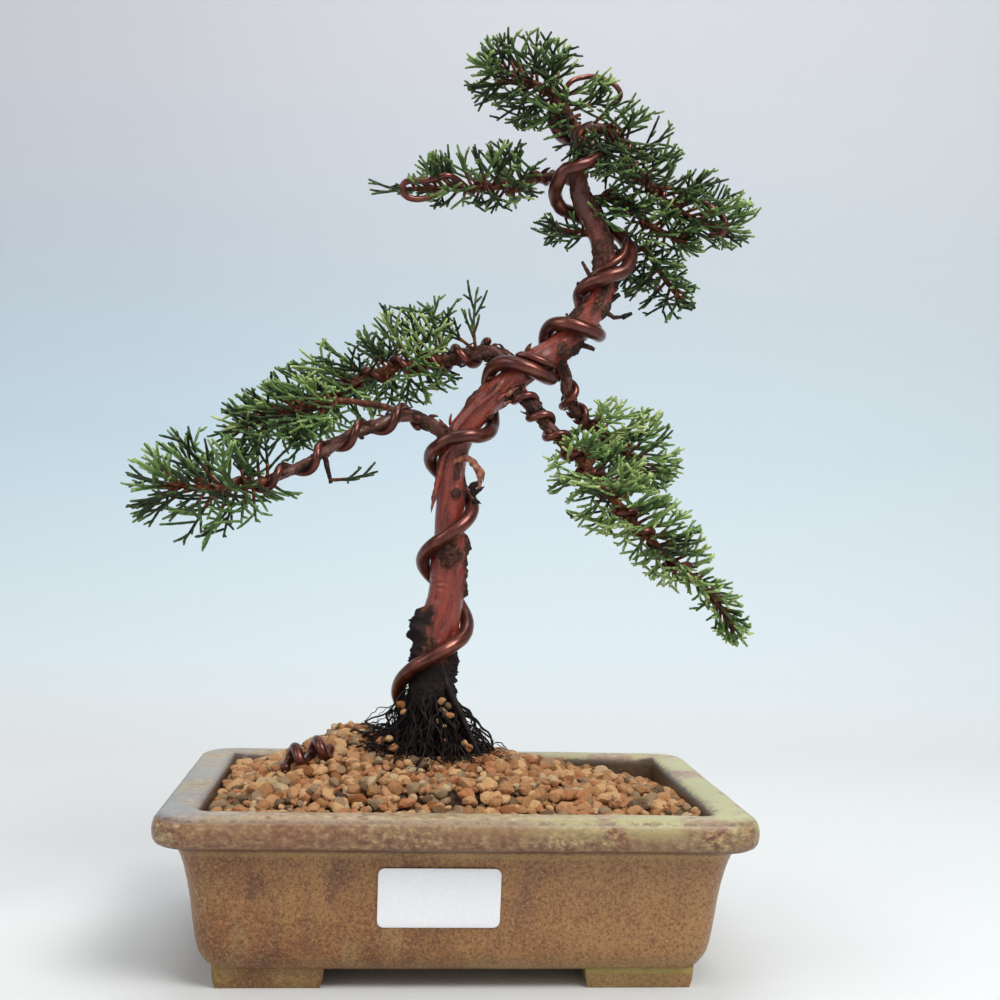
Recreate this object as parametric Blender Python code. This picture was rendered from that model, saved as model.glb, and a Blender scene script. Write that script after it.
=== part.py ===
"""A wired juniper bonsai in a glazed rectangular pot.

The tree stands on the soil of its pot: a leaning trunk with surface roots, eight boughs,
the aluminium wires that shape them, and a mass of foliage at the end of each bough.
Lengths are in millimetres until a mesh is made; MM turns them into metres.
+Z is up, +X is the side that the trunk leans to, and the front of the tree looks along -Y.
The origin lies on the table under the middle of the pot.
"""
import math
import random

import bmesh
import bpy
import numpy as np
from mathutils import Matrix, Vector, noise

MM = 0.001
GAP = 0.35                       # clear gap between two pieces that touch on the real tree

# Pot
POT_HALF_X = 100.0               # half the rim's width
POT_HALF_Y = 70.0                # half the rim's depth
POT_HEIGHT = 60.0
RIM_CORNER = 13.0
RIM_FLAT = 14.5                  # from the rim's nose to the inner edge
FOOT_HEIGHT = 7.0
FOOT_INSET = 19.4
FOOT_LEG_X = 37.0
FOOT_LEG_Y = 28.0
FOOT_THICKNESS = 11.0
FOOT_SLANT = 1.2                 # how much narrower a foot is at the table
FLOOR_TOP = 13.5
DRAIN_RADIUS = 8.0
DRAIN_PLACES = (-45.0, 45.0)

# Soil: a wide mound under the tree with a crest behind the left of the trunk
SOIL_EDGE = 56.0                 # height of the soil along the pot's wall
SOIL_FALL = 5.4                  # how much lower it lies in the back right corner
MOUNDS = (                       # centre, spread and height of each rise
    ((-9.5, 0.0), (73.0, 58.0), 15.3),
    ((-39.0, 12.4), (16.0, 21.0), 9.5),
)
RELIEF_HEIGHT = 3.0              # unevenness of the gravel
RELIEF_WIDTH = 9.0
GROUND = 70.0                    # height of the trunk's flat cut
ROOT_DISC = 19.0                 # radius of the flat place under the roots
WALL_BLEND = 16.0                # distance from the wall over which the mound rises
DISC_BLEND = 8.0                 # distance from the flat place over which the mound takes over
SOIL_RINGS = (0.2, 0.38, 0.54, 0.68, 0.8, 0.91, 1.0)   # rings of the surface, wall to flat place
SOIL_STEPS = (9, 5)              # parts that a ring's long and short sides are split into
TRUNK_FOOT = (-9.5, 0.0)

# Trunk: centreline points (x, y, z) with the radius there
TRUNK = (
    (-9.5, 0.0, 62.0, 9.5),
    (-9.5, 0.0, 76.0, 8.6),
    (-9.5, 0.0, 92.0, 7.6),
    (-7.8, 0.0, 110.0, 7.3),
    (-4.4, 0.0, 127.0, 6.7),
    (-4.0, -1.0, 145.0, 6.0),
    (-3.7, -2.0, 160.0, 5.2),
    (-3.8, -3.5, 174.0, 5.2),
    (-2.0, -4.5, 185.0, 5.2),
    (3.0, -5.0, 193.5, 5.1),
    (12.7, -6.0, 204.1, 5.0),
    (24.3, -6.0, 214.1, 5.0),
    (32.9, -5.0, 219.7, 5.0),
    (41.5, -3.0, 228.1, 4.8),
    (50.0, 0.0, 239.8, 4.4),
    (53.0, 3.0, 251.0, 4.1),
    (51.7, 5.0, 264.0, 4.1),
    (47.7, 5.0, 272.5, 3.9),
    (43.2, 4.0, 280.0, 3.6),
    (41.8, 2.0, 288.5, 3.3),
    (42.6, 1.0, 296.5, 3.0),
    (39.5, 0.0, 304.3, 2.6),
    (36.0, -1.0, 311.0, 2.2),
)
TRUNK_SIDES = 10
TRUNK_SPACING = 6.5              # between two points of the trunk's tube
# Surface roots: compass angle in degrees (0 = +X, 270 = front), reach, height on the trunk and
# radius there
ROOTS = (
    (5, 16.0, 96.0, 2.6),
    (50, 13.5, 90.0, 2.4),
    (150, 13.5, 90.0, 2.4),
    (190, 15.5, 92.0, 2.6),
    (232, 14.5, 88.0, 2.3),
    (272, 15.0, 90.0, 2.4),
    (318, 14.5, 92.0, 2.4),
)
# A surface root's course: share of its reach, share of its height above the soil
ROOT_COURSE = ((0.22, 1.0), (0.47, 0.65), (0.75, 0.21), (1.0, -0.19))
ROOT_TAPER = 0.62

# Boughs: waypoints (x, y, z) with the root and tip radius, and the wire round the bough:
# radius, turns, start and end (0 to 1 of its length), start angle in degrees, hand; or none
BOUGHS = {
    "bough_left_low": dict(
        way=((-2.5, -4, 186), (-9, -6, 189.5), (-16, -9, 193.5), (-22, -11, 194), (-33, -15, 189),
             (-42, -18, 185), (-54, -22, 176), (-63, -25, 171), (-69, -27, 168.5)),
        radii=(2.5, 1.6), wire=(1.5, 3.8, 0.18, 0.97, 277, -1)),
    "bough_left_high": dict(
        way=((21, -4, 211), (14, 3, 219), (7, 6, 220), (1, 8, 218.6), (-7, 10, 217)),
        radii=(3.1, 2.7), wire=(1.6, 1.3, 0.5, 0.93, 60, 1)),
    "bough_right_low": dict(
        way=((9, -6, 201), (17.5, -9, 204.5), (24, -12, 199), (29, -14, 193), (34, -15.5, 187.5)),
        radii=(2.4, 2.1), wire=(1.5, 2.1, 0.38, 0.95, 100, -1)),
    "bough_right_middle": dict(
        way=((35, -4.5, 221), (36, -5, 215), (38.5, -3, 209.5), (39.5, 0.5, 203.5), (43, 4, 198.5),
             (48, 7, 194.5)),
        radii=(2.3, 2.0), wire=(1.5, 1.6, 0.42, 0.95, 200, 1)),
    "bough_right_back": dict(
        way=((53, 3, 255), (57, 8.5, 258.5), (62, 13.5, 262.5), (68, 18, 264)),
        radii=(1.7, 1.5), wire=None),
    "bough_right_high": dict(
        way=((44.5, 4, 275.5), (49, 6, 280), (54, 8, 281.5), (60, 9, 280)),
        radii=(1.7, 1.5), wire=(1.2, 1.1, 0.5, 0.93, 90, 1)),
    "bough_top_left": dict(
        way=((42, 3, 285), (33, 9, 289), (27, 9, 287.5), (22, 7.5, 284.5)),
        radii=(1.8, 1.6), wire=(1.2, 1.3, 0.5, 0.93, 120, 1)),
    "bough_top_right": dict(
        way=((40, 0, 303), (47, 0, 306.5), (53, 2, 305), (57, 3.5, 301.5)),
        radii=(1.8, 1.7), wire=(1.2, 0.9, 0.55, 0.9, 90, 1)),
}
BOUGH_SIDES = 8
BOUGH_SPACING = 6.0
STEM_SIDES = 6
STEM_SPACING = 5.0
STEM_TIP_RADIUS = 0.9
STEM_GAP = 0.8                   # from a bough's tip to the stem of its mass, which may bend there
SIDE_GAP = 1.5                   # from a bough's side to the stem of a mass that starts there
STEM_STRAIGHT = 4.0              # how far a stem goes straight on from the limb that carries it

# Trunk wire: its height at each turn; it crosses the front of the trunk at whole turns, the +X
# side at quarters and the back at halves
WIRE_RADIUS = 2.65
WIRE_HEIGHTS = ((-1.0, 54.0), (-0.6, 73.6), (-0.3, 91.0), (0.0, 107.0), (1.0, 152.0), (2.0, 187.0),
                (3.0, 212.5), (4.0, 227.5), (5.0, 246.5), (5.25, 260.0), (5.5, 273.0), (5.75, 281.5),
                (6.0, 291.0), (7.0, 312.0))
WIRE_START_TURN = -0.6           # behind the roots, where it comes out of the soil
WIRE_END_TURN = 6.75
WIRE_CLEAR = 0.75                # from a limb's surface, which has flat facets, to its wire
WIRE_STEPS = 10                  # points in each turn of the trunk wire
# Loose loops, where the wire stands off the trunk: turn, extra distance, spread in turns
WIRE_LOOPS = ((-0.6, 6.0, 0.25), (5.25, 3.0, 0.22), (5.85, 4.2, 0.18))
# Thinner wires that lie along the trunk wire for part of a turn: first and last turn
THIN_WIRES = {"wire_trunk_thin_low": (2.84, 3.14), "wire_trunk_thin_high": (4.80, 5.22)}
THIN_WIRE_RADIUS = 1.5
THIN_WIRE_LIFT = 6.0             # how far up the trunk it lies from the thicker wire
# The twisted end of the anchor wire, lying on the mound
KNOT_WIRE_RADIUS = 1.9
KNOT_START = (-61.0, -14.0)
KNOT_END = (-45.0, -9.0)
KNOT_TURNS = 2.0
KNOT_STEPS = 16
KNOT_SWAY = 2.4                  # to each side as it twists
KNOT_RISE = 2.2                  # how far it rises off the soil in each turn

# Foliage: the way of each mass's stem from the limb that carries it, with its root radius, and
# the lobes that its twigs keep inside: centre, half sizes, and lean in degrees about the front
# axis (positive lifts the +X end)
MASSES = {
    "foliage_apex": dict(
        root="trunk", way=((30, -4, 317), (20, -7, 320), (8, -9, 323)), radius=1.9, seed=12,
        lobes=(((22, -5, 321), (28, 28, 20), -8), ((46, 1, 317), (18, 22, 12), -10))),
    "foliage_top_right": dict(
        root="bough_top_right",
        way=((62, 5.5, 293.5), (69, 7, 287), (77, 9, 281), (88, 11, 275.5), (101, 13, 272)),
        radius=1.6, seed=23,
        lobes=(((62, 3, 297), (23, 25, 16), -42), ((90, 11, 279), (26, 22, 14), -22))),
    "foliage_right_high": dict(
        root="bough_right_high", way=((66, 9.5, 275.5), (74, 9, 270), (85, 8, 265)), radius=1.4, seed=31,
        lobes=(((75, 8, 269.5), (18, 18, 10), -28),)),
    "foliage_right_back": dict(
        root="bough_right_back", way=((75, 21, 260), (79.5, 21.5, 253.5), (86, 20, 245)), radius=1.4, seed=47,
        lobes=(((74, 19, 252.5), (21, 20, 12), -42),)),
    "foliage_top_left": dict(
        root="bough_top_left", way=((13, 5, 283), (2, 2, 281), (-10, 0, 280), (-24, -2, 278.5)), radius=1.5,
        seed=59,
        lobes=(((12, 3, 286), (19, 21, 13), 8), ((-14, 0, 283), (22, 20, 11.5), 4))),
    "foliage_left_high": dict(
        root="bough_left_high", way=((-22, 12, 214.6), (-34, 13, 210.5), (-46, 15, 204), (-61, 16, 196)),
        radius=2.6, seed=61,
        lobes=(((-20, 12, 219), (22, 26, 20), -12), ((-50, 15, 204), (30, 27, 19), 28))),
    "foliage_left_middle": dict(
        root="bough_left_low",
        way=((-26, -4, 196.5), (-35, -2, 198.5), (-47, -4, 199), (-61, -8, 195.5), (-79, -12, 188)),
        radius=1.3, seed=73, side=0.34,
        lobes=(((-67, -10, 190), (25, 20, 16), 22),)),
    "foliage_left_tip": dict(
        root="bough_left_low", way=((-80, -29, 165.5), (-89, -31, 165), (-101, -32, 166)), radius=1.6,
        seed=83,
        lobes=(((-72, -28, 171), (20, 22, 14), 10), ((-92.5, -31, 165), (25, 24, 21), 0))),
    "foliage_right_pad": dict(
        root="bough_right_middle", way=((55, 9, 190), (64, 11, 184), (74, 12, 176)), radius=2.0, seed=97,
        lobes=(((63, 10, 185), (23, 24, 19), -30),)),
    "foliage_right_tail": dict(
        root="bough_right_low",
        way=((42.5, -17, 179.5), (49.5, -18, 171), (57, -18, 163), (66, -18, 153.5), (78, -18, 143),
             (92, -18, 131), (100, -18, 119)),
        radius=2.1, seed=101,
        lobes=(((50, -18, 171), (23, 22, 18), -45), ((72, -18, 151.5), (25, 22, 15), -45),
               ((93, -18, 129), (21, 13, 10), -52))),
    "foliage_trunk_tuft": dict(
        root="trunk", way=((41, 9.5, 268), (33, 10, 269.5)), radius=1.1, seed=113,
        start=(46.1, 8.3, 267.5), lobes=(((38, 9.5, 268.5), (13, 9, 8), 0),)),
}
STATION_SPACING = 5.7            # along a stem, between two stations with a pair of twigs each
STATION_TURN = math.radians(75)  # from one pair to the next round the stem
TWIG_LEANS = (122.0, 38.0)       # a twig's angle to its stem, at the stem's root and at its tip
TWIG_RADIUS = 1.55
TWIG_LONGEST = 21.0
TWIG_SHORTEST = 7.0
SHOOT_SPACING = 5.0              # between two shoots along a twig
SHOOT_RADIUS = 1.65
SHOOT_LENGTHS = (9.5, 13.5)
SHOOT_ANGLE = math.radians(42.0)
SHOOT_LIFT = 0.15                # how much shoots turn up
TWIG_CLEAR = 0.4                 # from a twig to any other limb or mass
SAMPLE_STEP = 1.5                # between two points where a twig's clearance is tried

COLOURS = {
    "pot": ((0.30, 0.20, 0.12), 0.35, 0.0),
    "soil": ((0.45, 0.29, 0.16), 0.9, 0.0),
    "bark": ((0.33, 0.10, 0.06), 0.6, 0.0),
    "wire": ((0.28, 0.11, 0.08), 0.35, 0.8),
    "foliage": ((0.07, 0.16, 0.06), 0.6, 0.0),
}


# ---------------------------------------------------------------- scene and objects

def clear_scene():
    """Remove every object that the scene starts with."""
    for obj in list(bpy.data.objects):
        bpy.data.objects.remove(obj, do_unlink=True)


def new_collection(name):
    """A new collection in the scene."""
    group = bpy.data.collections.new(name)
    bpy.context.scene.collection.children.link(group)
    return group


def principled(name, kind):
    """The material of one piece, in the colour of its kind."""
    colour, roughness, metallic = COLOURS[kind]
    material = bpy.data.materials.new(name)
    material.use_nodes = True
    shader = material.node_tree.nodes["Principled BSDF"]
    shader.inputs["Base Color"].default_value = (*colour, 1.0)
    shader.inputs["Roughness"].default_value = roughness
    shader.inputs["Metallic"].default_value = metallic
    return material


def mesh_object(name, bm, group):
    """Turn a bmesh in millimetres into an object in metres."""
    bmesh.ops.scale(bm, vec=(MM, MM, MM), verts=bm.verts)
    mesh = bpy.data.meshes.new(name)
    bm.to_mesh(mesh)
    bm.free()
    obj = bpy.data.objects.new(name, mesh)
    group.objects.link(obj)
    return obj


def dress(obj, kind, smooth_angle=50.0):
    """Give a finished piece its material and smooth shading."""
    obj.data.materials.clear()
    obj.data.materials.append(principled(obj.name, kind))
    obj.data.shade_smooth()
    obj.data.set_sharp_from_angle(angle=math.radians(smooth_angle))


def boolean(obj, operation, other, solver="EXACT"):
    """Join or cut obj with an object or with a whole collection, and apply it."""
    step = obj.modifiers.new(operation.lower(), "BOOLEAN")
    step.operation = operation
    step.solver = solver
    if isinstance(other, bpy.types.Collection):
        step.operand_type = "COLLECTION"
        step.collection = other
    else:
        step.object = other
    shaped = obj.evaluated_get(bpy.context.evaluated_depsgraph_get())
    mesh = bpy.data.meshes.new_from_object(shaped)
    obj.modifiers.clear()
    mesh.name = obj.name
    obj.data = mesh


def discard(group):
    """Remove the objects of a collection once they are joined."""
    for obj in list(group.objects):
        bpy.data.objects.remove(obj, do_unlink=True)


def as_cutter(obj):
    """Mark an object as a cutter."""
    obj.hide_render = True
    obj.display_type = "WIRE"


# ---------------------------------------------------------------- curves in space

def smooth(way, spacing):
    """Points about `spacing` apart on a smooth curve through the waypoints (rows of any width)."""
    way = np.array(way, float)
    ends = np.vstack([2 * way[0] - way[1], way, 2 * way[-1] - way[-2]])
    fine = []
    for a, b, c, d in zip(ends, ends[1:], ends[2:], ends[3:]):
        for t in np.arange(0.0, 1.0, 0.05):
            fine.append(0.5 * (2 * b + (c - a) * t + (2 * a - 5 * b + 4 * c - d) * t ** 2
                               + (3 * b - a - 3 * c + d) * t ** 3))
    fine = np.array(fine + [way[-1]])
    along = np.concatenate([[0.0], np.cumsum(np.linalg.norm(np.diff(fine[:, :3], axis=0), axis=1))])
    steps = max(2, round(along[-1] / spacing))
    even = np.linspace(0.0, along[-1], steps + 1)
    return np.column_stack([np.interp(even, along, column) for column in fine.T])


def unit(vector):
    """The vector at length 1."""
    return vector / np.linalg.norm(vector)


class Limb:
    """A tapering limb: the points of its centreline and the radius at each."""

    def __init__(self, way, spacing):
        rows = smooth(way, spacing)
        self.points = rows[:, :3]
        self.radii = rows[:, 3]
        steps = np.linalg.norm(np.diff(self.points, axis=0), axis=1)
        self.along = np.concatenate([[0.0], np.cumsum(steps)])
        self.length = self.along[-1]

    def at(self, distance):
        """Centre, radius and direction at a distance from the root."""
        centre = np.array([np.interp(distance, self.along, column) for column in self.points.T])
        ahead = np.array([np.interp(distance + 1.0, self.along, column) for column in self.points.T])
        behind = np.array([np.interp(distance - 1.0, self.along, column) for column in self.points.T])
        return centre, float(np.interp(distance, self.along, self.radii)), unit(ahead - behind)

    def round_at(self, distance, angle, offset):
        """The point `offset` from the centreline, at an angle from the limb's front side."""
        centre, _, direction = self.at(distance)
        front = np.array([0.0, -1.0, 0.0])
        front = unit(front - direction * front.dot(direction))
        side = np.cross(direction, front)
        return centre + offset * (math.cos(angle) * front + math.sin(angle) * side)


def tapered(way, root_radius, tip_radius):
    """Waypoints with a radius that falls evenly from the root to the tip."""
    way = np.array(way, float)
    steps = np.linalg.norm(np.diff(way, axis=0), axis=1)
    share = np.concatenate([[0.0], np.cumsum(steps)]) / steps.sum()
    return np.column_stack([way, root_radius + (tip_radius - root_radius) * share])


def tube(name, points, radii, sides, group):
    """A closed round tube with flat caps along the points: a bevelled curve made into a mesh."""
    data = bpy.data.curves.new(name, "CURVE")
    data.dimensions = "3D"
    data.bevel_depth = MM
    data.bevel_resolution = (sides - 4) // 2
    data.use_fill_caps = True
    spline = data.splines.new("POLY")
    spline.points.add(len(points) - 1)
    for knot, point, radius in zip(spline.points, points, radii):
        knot.co = (*(np.asarray(point) * MM), 1.0)
        knot.radius = radius
    curve = bpy.data.objects.new(name + "_curve", data)
    group.objects.link(curve)
    evaluated = curve.evaluated_get(bpy.context.evaluated_depsgraph_get())
    mesh = bpy.data.meshes.new_from_object(evaluated)
    bm = bmesh.new()
    bm.from_mesh(mesh)
    bmesh.ops.remove_doubles(bm, verts=bm.verts, dist=0.01 * MM)
    bmesh.ops.recalc_face_normals(bm, faces=bm.faces)
    bm.to_mesh(mesh)
    bm.free()
    mesh.name = name
    obj = bpy.data.objects.new(name, mesh)
    obj.matrix_world = curve.matrix_world
    group.objects.link(obj)
    bpy.data.objects.remove(curve, do_unlink=True)
    return obj


def spike(name, start, end, radius, group):
    """A three-sided twig or shoot that tapers to a point from start to end."""
    start, end = Vector(start), Vector(end)
    bm = bmesh.new()
    bmesh.ops.create_cone(bm, cap_ends=True, segments=3, radius1=radius, radius2=0.0,
                          depth=(end - start).length)
    turn = (end - start).to_track_quat("Z", "Y").to_matrix().to_4x4()
    bmesh.ops.transform(bm, matrix=Matrix.Translation((start + end) / 2) @ turn, verts=bm.verts)
    return mesh_object(name, bm, group)


# ---------------------------------------------------------------- pot and soil

def rounded_rectangle(inset, corner, z, corner_steps=4, side_steps=(1, 1)):
    """A loop of points with rounded corners, `inset` inside the rim's outline."""
    loop = []
    for quarter, (sx, sy) in enumerate(((1, 1), (-1, 1), (-1, -1), (1, -1))):
        centre_x = sx * (POT_HALF_X - inset - corner)
        centre_y = sy * (POT_HALF_Y - inset - corner)
        for step in range(corner_steps + 1):
            angle = math.radians(90 * (quarter + step / corner_steps))
            loop.append((centre_x + corner * math.cos(angle), centre_y + corner * math.sin(angle), z))
        x, y, _ = loop[-1]
        steps = side_steps[quarter % 2]
        for step in range(1, steps):
            share = 1 - 2 * step / steps
            loop.append((x * share, y, z) if quarter % 2 == 0 else (x, y * share, z))
    return loop


def loft(name, loops, group):
    """A closed solid through loops of equal length, capped at the first and the last."""
    bm = bmesh.new()
    rings = [[bm.verts.new(point) for point in loop] for loop in loops]
    for ring, following in zip(rings, rings[1:]):
        for i in range(len(ring)):
            bm.faces.new((ring[i - 1], ring[i], following[i], following[i - 1]))
    bm.faces.new(rings[0][::-1])
    bm.faces.new(rings[-1])
    return mesh_object(name, bm, group)


def inner_wall(extra=0.0):
    """The pot's inside, from the rim down to the floor: (inset, corner, height)."""
    return ((RIM_FLAT + extra, 6.0, 58.6), (RIM_FLAT + 0.2 + extra, 6.0, 52.0),
            (RIM_FLAT + 4.0 + extra, 6.0, FLOOR_TOP + 2.5), (RIM_FLAT + 6.5 + extra, 6.0, FLOOR_TOP))


def foot(name, sx, sy, group):
    """One L-shaped corner foot, a little narrower at the table."""
    x = POT_HALF_X - FOOT_INSET
    y = POT_HALF_Y - FOOT_INSET
    loops = []
    for slant, z in ((FOOT_SLANT, 0.0), (0.0, FOOT_HEIGHT + 1.5)):
        outline = [(x - slant, y - slant), (x - FOOT_LEG_X + slant, y - slant),
                   (x - FOOT_LEG_X + slant, y - FOOT_THICKNESS + slant),
                   (x - FOOT_THICKNESS + slant, y - FOOT_THICKNESS + slant),
                   (x - FOOT_THICKNESS + slant, y - FOOT_LEG_Y + slant), (x - slant, y - FOOT_LEG_Y + slant)]
        loop = [(sx * px, sy * py, z) for px, py in outline]
        loops.append(loop if sx * sy > 0 else loop[::-1])
    return loft(name, loops, group)


def make_pot(group, parts, cutters):
    """The glazed pot: lipped rim, tapering walls, four corner feet and two drain holes."""
    outside = ((FOOT_INSET - 0.8, 8.0, FOOT_HEIGHT), (17.0, 8.5, FOOT_HEIGHT + 1.2),
               (15.2, 9.0, FOOT_HEIGHT + 4.0), (13.8, 9.0, FOOT_HEIGHT + 8.5), (11.8, 9.5, 30.0),
               (9.2, 10.0, 43.0), (7.4, 10.0, 48.2), (2.0, 12.0, 49.2), (0.3, 13.0, 51.5),
               (0.0, RIM_CORNER, 55.0), (0.8, 12.5, 58.0), (3.4, 11.0, POT_HEIGHT),
               (RIM_FLAT - 2.4, 7.0, POT_HEIGHT))
    loops = [rounded_rectangle(*section) for section in outside + inner_wall()]
    pot = loft("pot", loops, group)
    for sx in (-1, 1):
        for sy in (-1, 1):
            foot(f"foot_{sx}_{sy}", sx, sy, parts)
    boolean(pot, "UNION", parts)
    discard(parts)
    for place in DRAIN_PLACES:
        bm = bmesh.new()
        bmesh.ops.create_cone(bm, cap_ends=True, segments=16, radius1=DRAIN_RADIUS,
                              radius2=DRAIN_RADIUS, depth=3 * FLOOR_TOP)
        bmesh.ops.translate(bm, vec=(place, 0.0, FLOOR_TOP), verts=bm.verts)
        as_cutter(mesh_object("drain_hole", bm, cutters))
    boolean(pot, "DIFFERENCE", cutters)
    discard(cutters)
    dress(pot, "pot", 35.0)
    return pot


def ease(share):
    """A share from 0 to 1 that starts and ends gently."""
    share = min(1.0, max(0.0, share))
    return share * share * (3 - 2 * share)


def soil_height(x, y):
    """Height of the soil: low at the wall and in the back right corner, flat under the roots."""
    level = SOIL_EDGE - SOIL_FALL * ease((x + 10.0) / 90.0) * ease((y + 30.0) / 80.0)
    wall = min(POT_HALF_X - RIM_FLAT - abs(x), POT_HALF_Y - RIM_FLAT - abs(y)) / WALL_BLEND
    for (centre_x, centre_y), (spread_x, spread_y), height in MOUNDS:
        far = ((x - centre_x) / spread_x) ** 2 + ((y - centre_y) / spread_y) ** 2
        level += height * math.exp(-far) * min(1.0, max(0.0, wall))
    level += RELIEF_HEIGHT * noise.noise(Vector((x, y, 0.0)) / RELIEF_WIDTH) * min(1.0, max(0.0, 2 * wall))
    blend = ease((math.hypot(x - TRUNK_FOOT[0], y - TRUNK_FOOT[1]) - ROOT_DISC) / DISC_BLEND)
    return (GROUND - GAP) * (1 - blend) + level * blend


def make_soil(group):
    """The soil in the pot, from its floor to the mound that the tree stands on."""
    walls = reversed(inner_wall(GAP)[2:])
    loops = [rounded_rectangle(*section, 2, SOIL_STEPS) for section in walls]
    loops[0] = [(x, y, z + GAP) for x, y, z in loops[0]]
    edge = rounded_rectangle(RIM_FLAT + 2 * GAP, 6.0, 0.0, 2, SOIL_STEPS)
    loops.append([(x, y, soil_height(x, y)) for x, y, _ in edge])
    disc = []
    for x, y, _ in edge:
        angle = math.atan2(y / (POT_HALF_Y - RIM_FLAT), x / (POT_HALF_X - RIM_FLAT))
        disc.append((TRUNK_FOOT[0] + ROOT_DISC * math.cos(angle),
                     TRUNK_FOOT[1] + ROOT_DISC * math.sin(angle)))
    for share in SOIL_RINGS:
        ring = [(ex + (dx - ex) * share, ey + (dy - ey) * share)
                for (ex, ey, _), (dx, dy) in zip(edge, disc)]
        loops.append([(x, y, soil_height(x, y)) for x, y in ring])
    soil = loft("soil", loops, group)
    dress(soil, "soil")
    return soil


# ---------------------------------------------------------------- trunk, boughs and wires

def make_trunk(limb, group, parts, cutters):
    """The trunk with its surface roots, cut flat where it stands on the soil."""
    trunk = tube("trunk", limb.points, limb.radii, TRUNK_SIDES, group)
    for number, (compass, reach, height, radius) in enumerate(ROOTS):
        away = Vector((math.cos(math.radians(compass)), math.sin(math.radians(compass))))
        way = []
        for share_out, share_up in ROOT_COURSE:
            x, y = Vector(TRUNK_FOOT) + away * reach * share_out
            way.append((x, y, GROUND + (height - GROUND) * share_up))
        root = Limb(tapered(way, radius, ROOT_TAPER * radius), STEM_SPACING)
        tube(f"root_{number}", root.points, root.radii, BOUGH_SIDES, parts)
    boolean(trunk, "UNION", parts)
    discard(parts)
    bm = bmesh.new()
    bmesh.ops.create_cube(bm, size=100.0)
    bmesh.ops.translate(bm, vec=(0.0, 0.0, GROUND - 50.0), verts=bm.verts)
    as_cutter(mesh_object("ground_cut", bm, cutters))
    boolean(trunk, "DIFFERENCE", cutters)
    discard(cutters)
    dress(trunk, "bark")
    return trunk


def make_boughs(trunk_limb, group, cutters):
    """Each bough as one tapering limb, cut to the trunk's side with a clear gap."""
    clearance = tube("trunk_clearance", trunk_limb.points, trunk_limb.radii + GAP, TRUNK_SIDES, cutters)
    as_cutter(clearance)
    limbs = {}
    for name, bough in BOUGHS.items():
        limb = Limb(tapered(bough["way"], *bough["radii"]), BOUGH_SPACING)
        obj = tube(name, limb.points, limb.radii, BOUGH_SIDES, group)
        boolean(obj, "DIFFERENCE", clearance)
        dress(obj, "bark")
        limbs[name] = limb
    discard(cutters)
    return limbs


def trunk_wire_path(limb, first_turn, last_turn, radius, lift=0.0):
    """Points of a wire round the trunk, from one turn to another."""
    knots = np.array([(turn, np.interp(height, limb.points[:, 2], limb.along), 0.0)
                      for turn, height in WIRE_HEIGHTS])
    places = smooth(knots, 0.5)
    path = []
    for turn in np.arange(first_turn, last_turn, 1.0 / WIRE_STEPS):
        distance = float(np.interp(turn, places[:, 0], places[:, 1])) + lift
        _, limb_radius, _ = limb.at(distance)
        offset = limb_radius + radius + WIRE_CLEAR
        offset += sum(extra * math.exp(-((turn - at) / spread) ** 2) for at, extra, spread in WIRE_LOOPS)
        path.append(limb.round_at(distance, 2 * math.pi * turn, offset))
    return path


def bough_wire_path(limb, wire):
    """Points of the wire round one bough."""
    radius, turns, start, end, angle, hand = wire
    count = round(8 * turns)
    path = []
    for step in range(count + 1):
        distance = limb.length * (start + (end - start) * step / count)
        _, limb_radius, _ = limb.at(distance)
        around = math.radians(angle) + hand * 2 * math.pi * turns * step / count
        path.append(limb.round_at(distance, around, limb_radius + radius + WIRE_CLEAR))
    return path


def knot_path(soil):
    """Points of the twisted wire end that lies on the mound."""
    path = []
    for step in range(KNOT_STEPS + 1):
        share = step / KNOT_STEPS
        around = 2 * math.pi * KNOT_TURNS * share
        x = KNOT_START[0] + (KNOT_END[0] - KNOT_START[0]) * share
        y = KNOT_START[1] + (KNOT_END[1] - KNOT_START[1]) * share + KNOT_SWAY * math.sin(around)
        above = Vector((x, y, 2 * POT_HEIGHT)) * MM
        _, ground, _, _ = soil.ray_cast(above, Vector((0.0, 0.0, -1.0)))
        lift = KNOT_WIRE_RADIUS + 2 * GAP + KNOT_RISE * (1 - math.cos(around)) / 2
        path.append((x, y, ground.z / MM + lift))
    return path


def make_wires(trunk_limb, boughs, soil, group):
    """All the wires; returns the path and radius of each."""
    trunk_turns = trunk_wire_path(trunk_limb, WIRE_START_TURN, WIRE_END_TURN, WIRE_RADIUS)
    paths = {
        "wire_trunk": (trunk_turns, WIRE_RADIUS),
        "wire_anchor": (knot_path(soil), KNOT_WIRE_RADIUS),
    }
    for name, turns in THIN_WIRES.items():
        path = trunk_wire_path(trunk_limb, *turns, THIN_WIRE_RADIUS, THIN_WIRE_LIFT)
        paths[name] = (path, THIN_WIRE_RADIUS)
    for name, bough in BOUGHS.items():
        if bough["wire"]:
            path = bough_wire_path(boughs[name], bough["wire"])
            paths[name.replace("bough", "wire")] = (path, bough["wire"][0])
    for name, (path, radius) in paths.items():
        obj = tube(name, path, [radius] * len(path), 8 if name == "wire_trunk" else 6, group)
        dress(obj, "wire")
    return paths


# ---------------------------------------------------------------- foliage

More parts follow.
